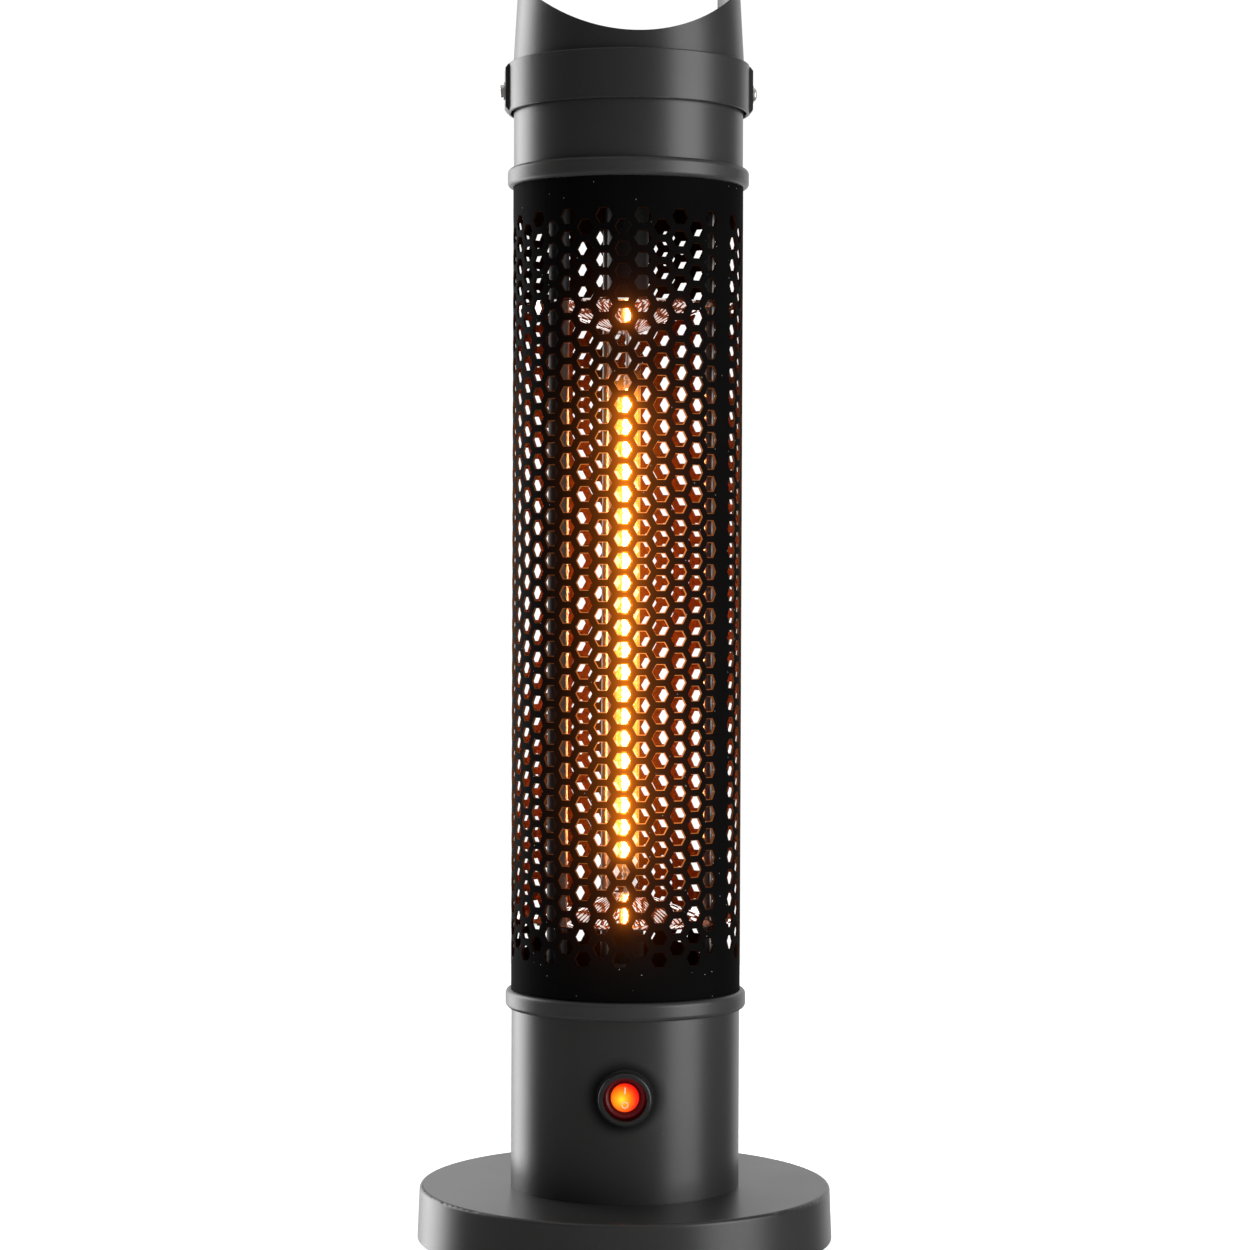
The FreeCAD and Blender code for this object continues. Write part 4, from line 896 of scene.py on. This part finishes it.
stand_in(screw_pair("band_screws", "handle_screws", length=13.0, domes={"left": 0.45, "right": 1.0}),
         HEATER, "stainless", "handle_screws")
stand_in(screw_pair("bar_screws", "grip_screws", length=14.0, domes={"left": 0.8, "right": 0.8}),
         HEATER, "stainless", "grip_screws")

# %% [markdown]
# ## The grip
# The bar between the two ears is a moulded grip with shallow rings that keep the hand from slipping.
# It is turned on its side and cut to the sloping inside of the ears.

# %% Turn the grip
GRIP_RINGS = 9
RING_PITCH = 7.0
RING_DEEP = 0.7


def ringed_grip():
    low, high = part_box("grip")
    height = (low.z + high.z) / 2
    end = (high.z - low.z) / 2 / MM
    bar = 11.0
    collar_from = 48.7
    reach = 57.0
    half_run = RING_PITCH * GRIP_RINGS / 2
    outline = [(0, -reach), (end, -reach), (end, -collar_from - 0.6), (end - 0.6, -collar_from)]
    outline += [(bar, -collar_from)]
    for number in range(GRIP_RINGS):
        middle = RING_PITCH * (number + 0.5) - half_run
        outline += [(bar - RING_DEEP + RING_DEEP * abs(step) ** 1.6, middle + step * 1.6)
                    for step in (-1, -0.6, -0.25, 0.25, 0.6, 1)]
    outline += [(bar, collar_from), (end - 0.6, collar_from), (end, collar_from + 0.6)]
    outline += [(end, reach), (0, reach)]
    grip = lathe("ringed_grip", outline, 72)
    settle(grip, Matrix.Translation((0, 0, height)) @ TO_SIDE["right"])
    slope = math.tan(math.radians(3.4))
    inside, above, below = 53.65, 20.0, 20.0
    room = lathe("grip_room", [(0, -below), (inside + below * slope, -below),
                               (inside - above * slope, above), (0, above)], 160)
    settle(room, Matrix.Translation((0, 0, height)))
    carve(grip, room, "INTERSECT")
    settle(grip, Matrix.Rotation(HANDLE_TURN, 4, "Z"))
    smooth(grip)
    return grip


stand_in(ringed_grip(), HEATER, "grip_plastic", "grip")

# %% [markdown]
# ## The cord gland
# The gland at the back has a fluted cap that is tightened by hand. It starts on the lathe, and its
# flutes are groups of side faces pressed in.

# %% Model the gland
FLUTES = 12
FLUTE_DEEP = 0.55


def fluted_gland():
    low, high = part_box("cord_gland")
    inner, outer = low.y / MM, high.y / MM
    flange = outer - 11.0
    cap = flange + 3.0
    outline = [(4.0, inner), (6.6, inner), (7.0, inner + 0.5), (7.0, flange), (9.5, flange), (9.5, cap - 0.6),
               (9.1, cap), (8.0, cap), (7.7, cap + 1.0), (7.2, outer - 2.2), (6.6, outer - 0.6),
               (6.0, outer), (4.6, outer), (4.0, outer - 0.6), (4.0, inner)]
    gland = lathe("fluted_gland", outline, FLUTES * 4)
    bpy.ops.object.mode_set(mode="EDIT")
    bpy.ops.mesh.select_mode(type="FACE")

    def fluted(middle, normal):
        angle = math.degrees(math.atan2(middle.y, middle.x)) % (360 / FLUTES)
        on_side = (cap + 0.9) * MM < middle.z < (outer - 1.0) * MM
        return on_side and normal.z < 0.5 and angle < 180 / FLUTES and math.hypot(middle.x, middle.y) > 6 * MM

    pick_faces(gland, fluted)
    bpy.ops.mesh.inset(thickness=0.25 * MM, depth=-FLUTE_DEEP * MM)
    clean_up()
    settle(gland, Matrix.Translation((0, 0, (low.z + high.z) / 2)) @ Matrix.Rotation(-math.pi / 2, 4, "X"))
    smooth(gland)
    return gland


stand_in(fluted_gland(), HEATER, "black_plastic", "cord_gland")

# %% [markdown]
# ## The feet
# Four rubber feet carry the heater, each screwed through its middle into the base. One foot is turned,
# with two rings of tread, and copied to the four corners, and so is its screw.

# %% Model the feet and their screws
FOOT_CIRCLE = 82.0
QUARTERS = (45, 135, 225, 315)
FOOT_SCREW_HIGH = 1.4


def at_corners(name, piece):
    """Four copies on the circle of the feet."""
    made = []
    for angle in QUARTERS:
        x, y, _ = round_the_heater(angle, FOOT_CIRCLE * MM, 0)
        made.append(settle(copy_of(piece, f"{name}_{angle}"), Matrix.Translation((x, y, 0))))
    bpy.data.objects.remove(piece)
    return joined(name, made)


def treaded_foot():
    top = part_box("rubber_feet")[1].z / MM
    tread = [(8.2, 0.0), (7.6, 0.0), (7.4, 0.5), (6.9, 0.5), (6.7, 0.0), (5.9, 0.0), (5.7, 0.5), (5.2, 0.5),
             (5.0, 0.0), (3.6, 0.0), (3.6, top - 0.8), (2.3, top - 0.8), (2.3, top), (9.0, top), (9.0, 0.8)]
    return lathe("foot", tread + arc((8.2, 0.8), 0.8, 0, -90, 5)[1:], 56)


feet = at_corners("treaded_feet", treaded_foot())
smooth(feet)
stand_in(feet, HEATER, "black_rubber", "rubber_feet")
foot_screw = pan_screw("foot_screw", head=3.3, high=FOOT_SCREW_HIGH, length=10.0, dome=0.6)
foot_screw_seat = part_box("foot_screws")[0].z + FOOT_SCREW_HIGH * MM
settle(foot_screw, Matrix.Translation((0, 0, foot_screw_seat)) @ Matrix.Rotation(math.pi, 4, "X"))
stand_in(at_corners("cover_screws", foot_screw), HEATER, "plated_steel", "foot_screws")

# %% [markdown]
# ## The rocker
# The switch is a round rocker: a dark red button with a raised lip, and a lit lens that bulges a little
# in its middle. Both are turned flat and then tipped to the ON side about the rocker's pivot.

# %% Turn the rocker and its lens
PIVOT = Vector(next(joint["pos_m"] for joint in frame["joints"] if joint["name"] == "rocker_tip"))
ROCKER_TILT = math.radians(-6)
LENS_RADIUS, LENS_SEAT = 6.85, 4.2
PIN_RADIUS, PIN_SPAN = 1.2, 23.0
ROCKER_PLACE = (Matrix.Translation(PIVOT) @ Matrix.Rotation(ROCKER_TILT, 4, "X")
                @ Matrix.Rotation(math.pi / 2, 4, "X"))


def lipped_rocker():
    outline = [(0, -1.5), (10.35, -1.5), (10.35, 1.5), (9.9, 1.8), (9.9, 3.6)]
    outline += arc((9.2, 3.6), 0.7, 0, 180, 8)[1:]
    outline += [(8.4, 3.2), (7.7, 2.9), (7.2, 3.4), (LENS_RADIUS, LENS_SEAT), (0, LENS_SEAT)]
    button = lathe("lipped_rocker", outline, 96)
    deselect()
    bpy.ops.mesh.primitive_cylinder_add(vertices=24, radius=PIN_RADIUS * MM, depth=PIN_SPAN * MM,
                                        rotation=(0, math.pi / 2, 0))
    pins = bpy.context.object
    bpy.ops.object.transform_apply(rotation=True)
    carve(button, pins, "UNION")
    settle(button, ROCKER_PLACE)
    smooth(button)
    return button


def lens_dome():
    edge = LENS_SEAT + 0.1
    swell = [(LENS_RADIUS * math.sin(math.radians(a)), edge + 0.95 * math.cos(math.radians(a)) ** 0.7)
             for a in (0, 15, 30, 45, 60, 72, 82, 89)]
    seat = [(0, LENS_SEAT), (LENS_RADIUS, LENS_SEAT), (LENS_RADIUS, edge)]
    lens = lathe("lens_dome", seat + swell[::-1], 96)
    settle(lens, ROCKER_PLACE)
    smooth(lens, 50)
    return lens


stand_in(lipped_rocker(), ROCKER, "rocker_red", "rocker")
stand_in(lens_dome(), ROCKER, "lens_lit", "rocker_lens")

# %% [markdown]
# ## The marks on the lens
# The I and the O are thin pale prints that stand a hair above the lens. The I is a narrow bar with
# rounded ends, extruded from a flat outline, and the O is a small turned ring.

# %% Print the marks
BAR_WIDE, BAR_LONG = 0.75, 3.2
BAR_UP, LOOP_DOWN = 3.3, 3.5
LOOP_OUTER, LOOP_INNER = 1.65, 1.22
MARK_LOW, MARK_HIGH = 4.7, 5.32


def mark_bar():
    end = BAR_WIDE / 2
    run = BAR_LONG / 2 - end
    corners = arc((0, run), end, 0, 180, 8) + arc((0, -run), end, 180, 360, 8)
    bar = new_point("mark_bar")
    here = Vector()
    for number, (across, along) in enumerate(corners):
        there = Vector((across, along, MARK_LOW)) * MM
        if number == 0:
            bpy.ops.transform.translate(value=there)
        else:
            bpy.ops.mesh.extrude_region_move(TRANSFORM_OT_translate={"value": there - here})
        here = there
    bpy.ops.mesh.select_all(action="SELECT")
    bpy.ops.mesh.edge_face_add()
    rise = (0, 0, (MARK_HIGH - MARK_LOW) * MM)
    bpy.ops.mesh.extrude_region_move(TRANSFORM_OT_translate={"value": rise})
    clean_up()
    return settle(bar, ROCKER_PLACE @ Matrix.Translation((0, BAR_UP * MM, 0)))


def mark_loop():
    loop = lathe("mark_loop", [
        (LOOP_INNER, MARK_LOW), (LOOP_OUTER, MARK_LOW), (LOOP_OUTER, MARK_HIGH),
        (LOOP_INNER, MARK_HIGH), (LOOP_INNER, MARK_LOW)], 48)
    return settle(loop, ROCKER_PLACE @ Matrix.Translation((0, -LOOP_DOWN * MM, 0)))


marks = joined("lens_marks", [mark_bar(), mark_loop()])
smooth(marks)
stand_in(marks, ROCKER, "mark_white", "rocker_marks")
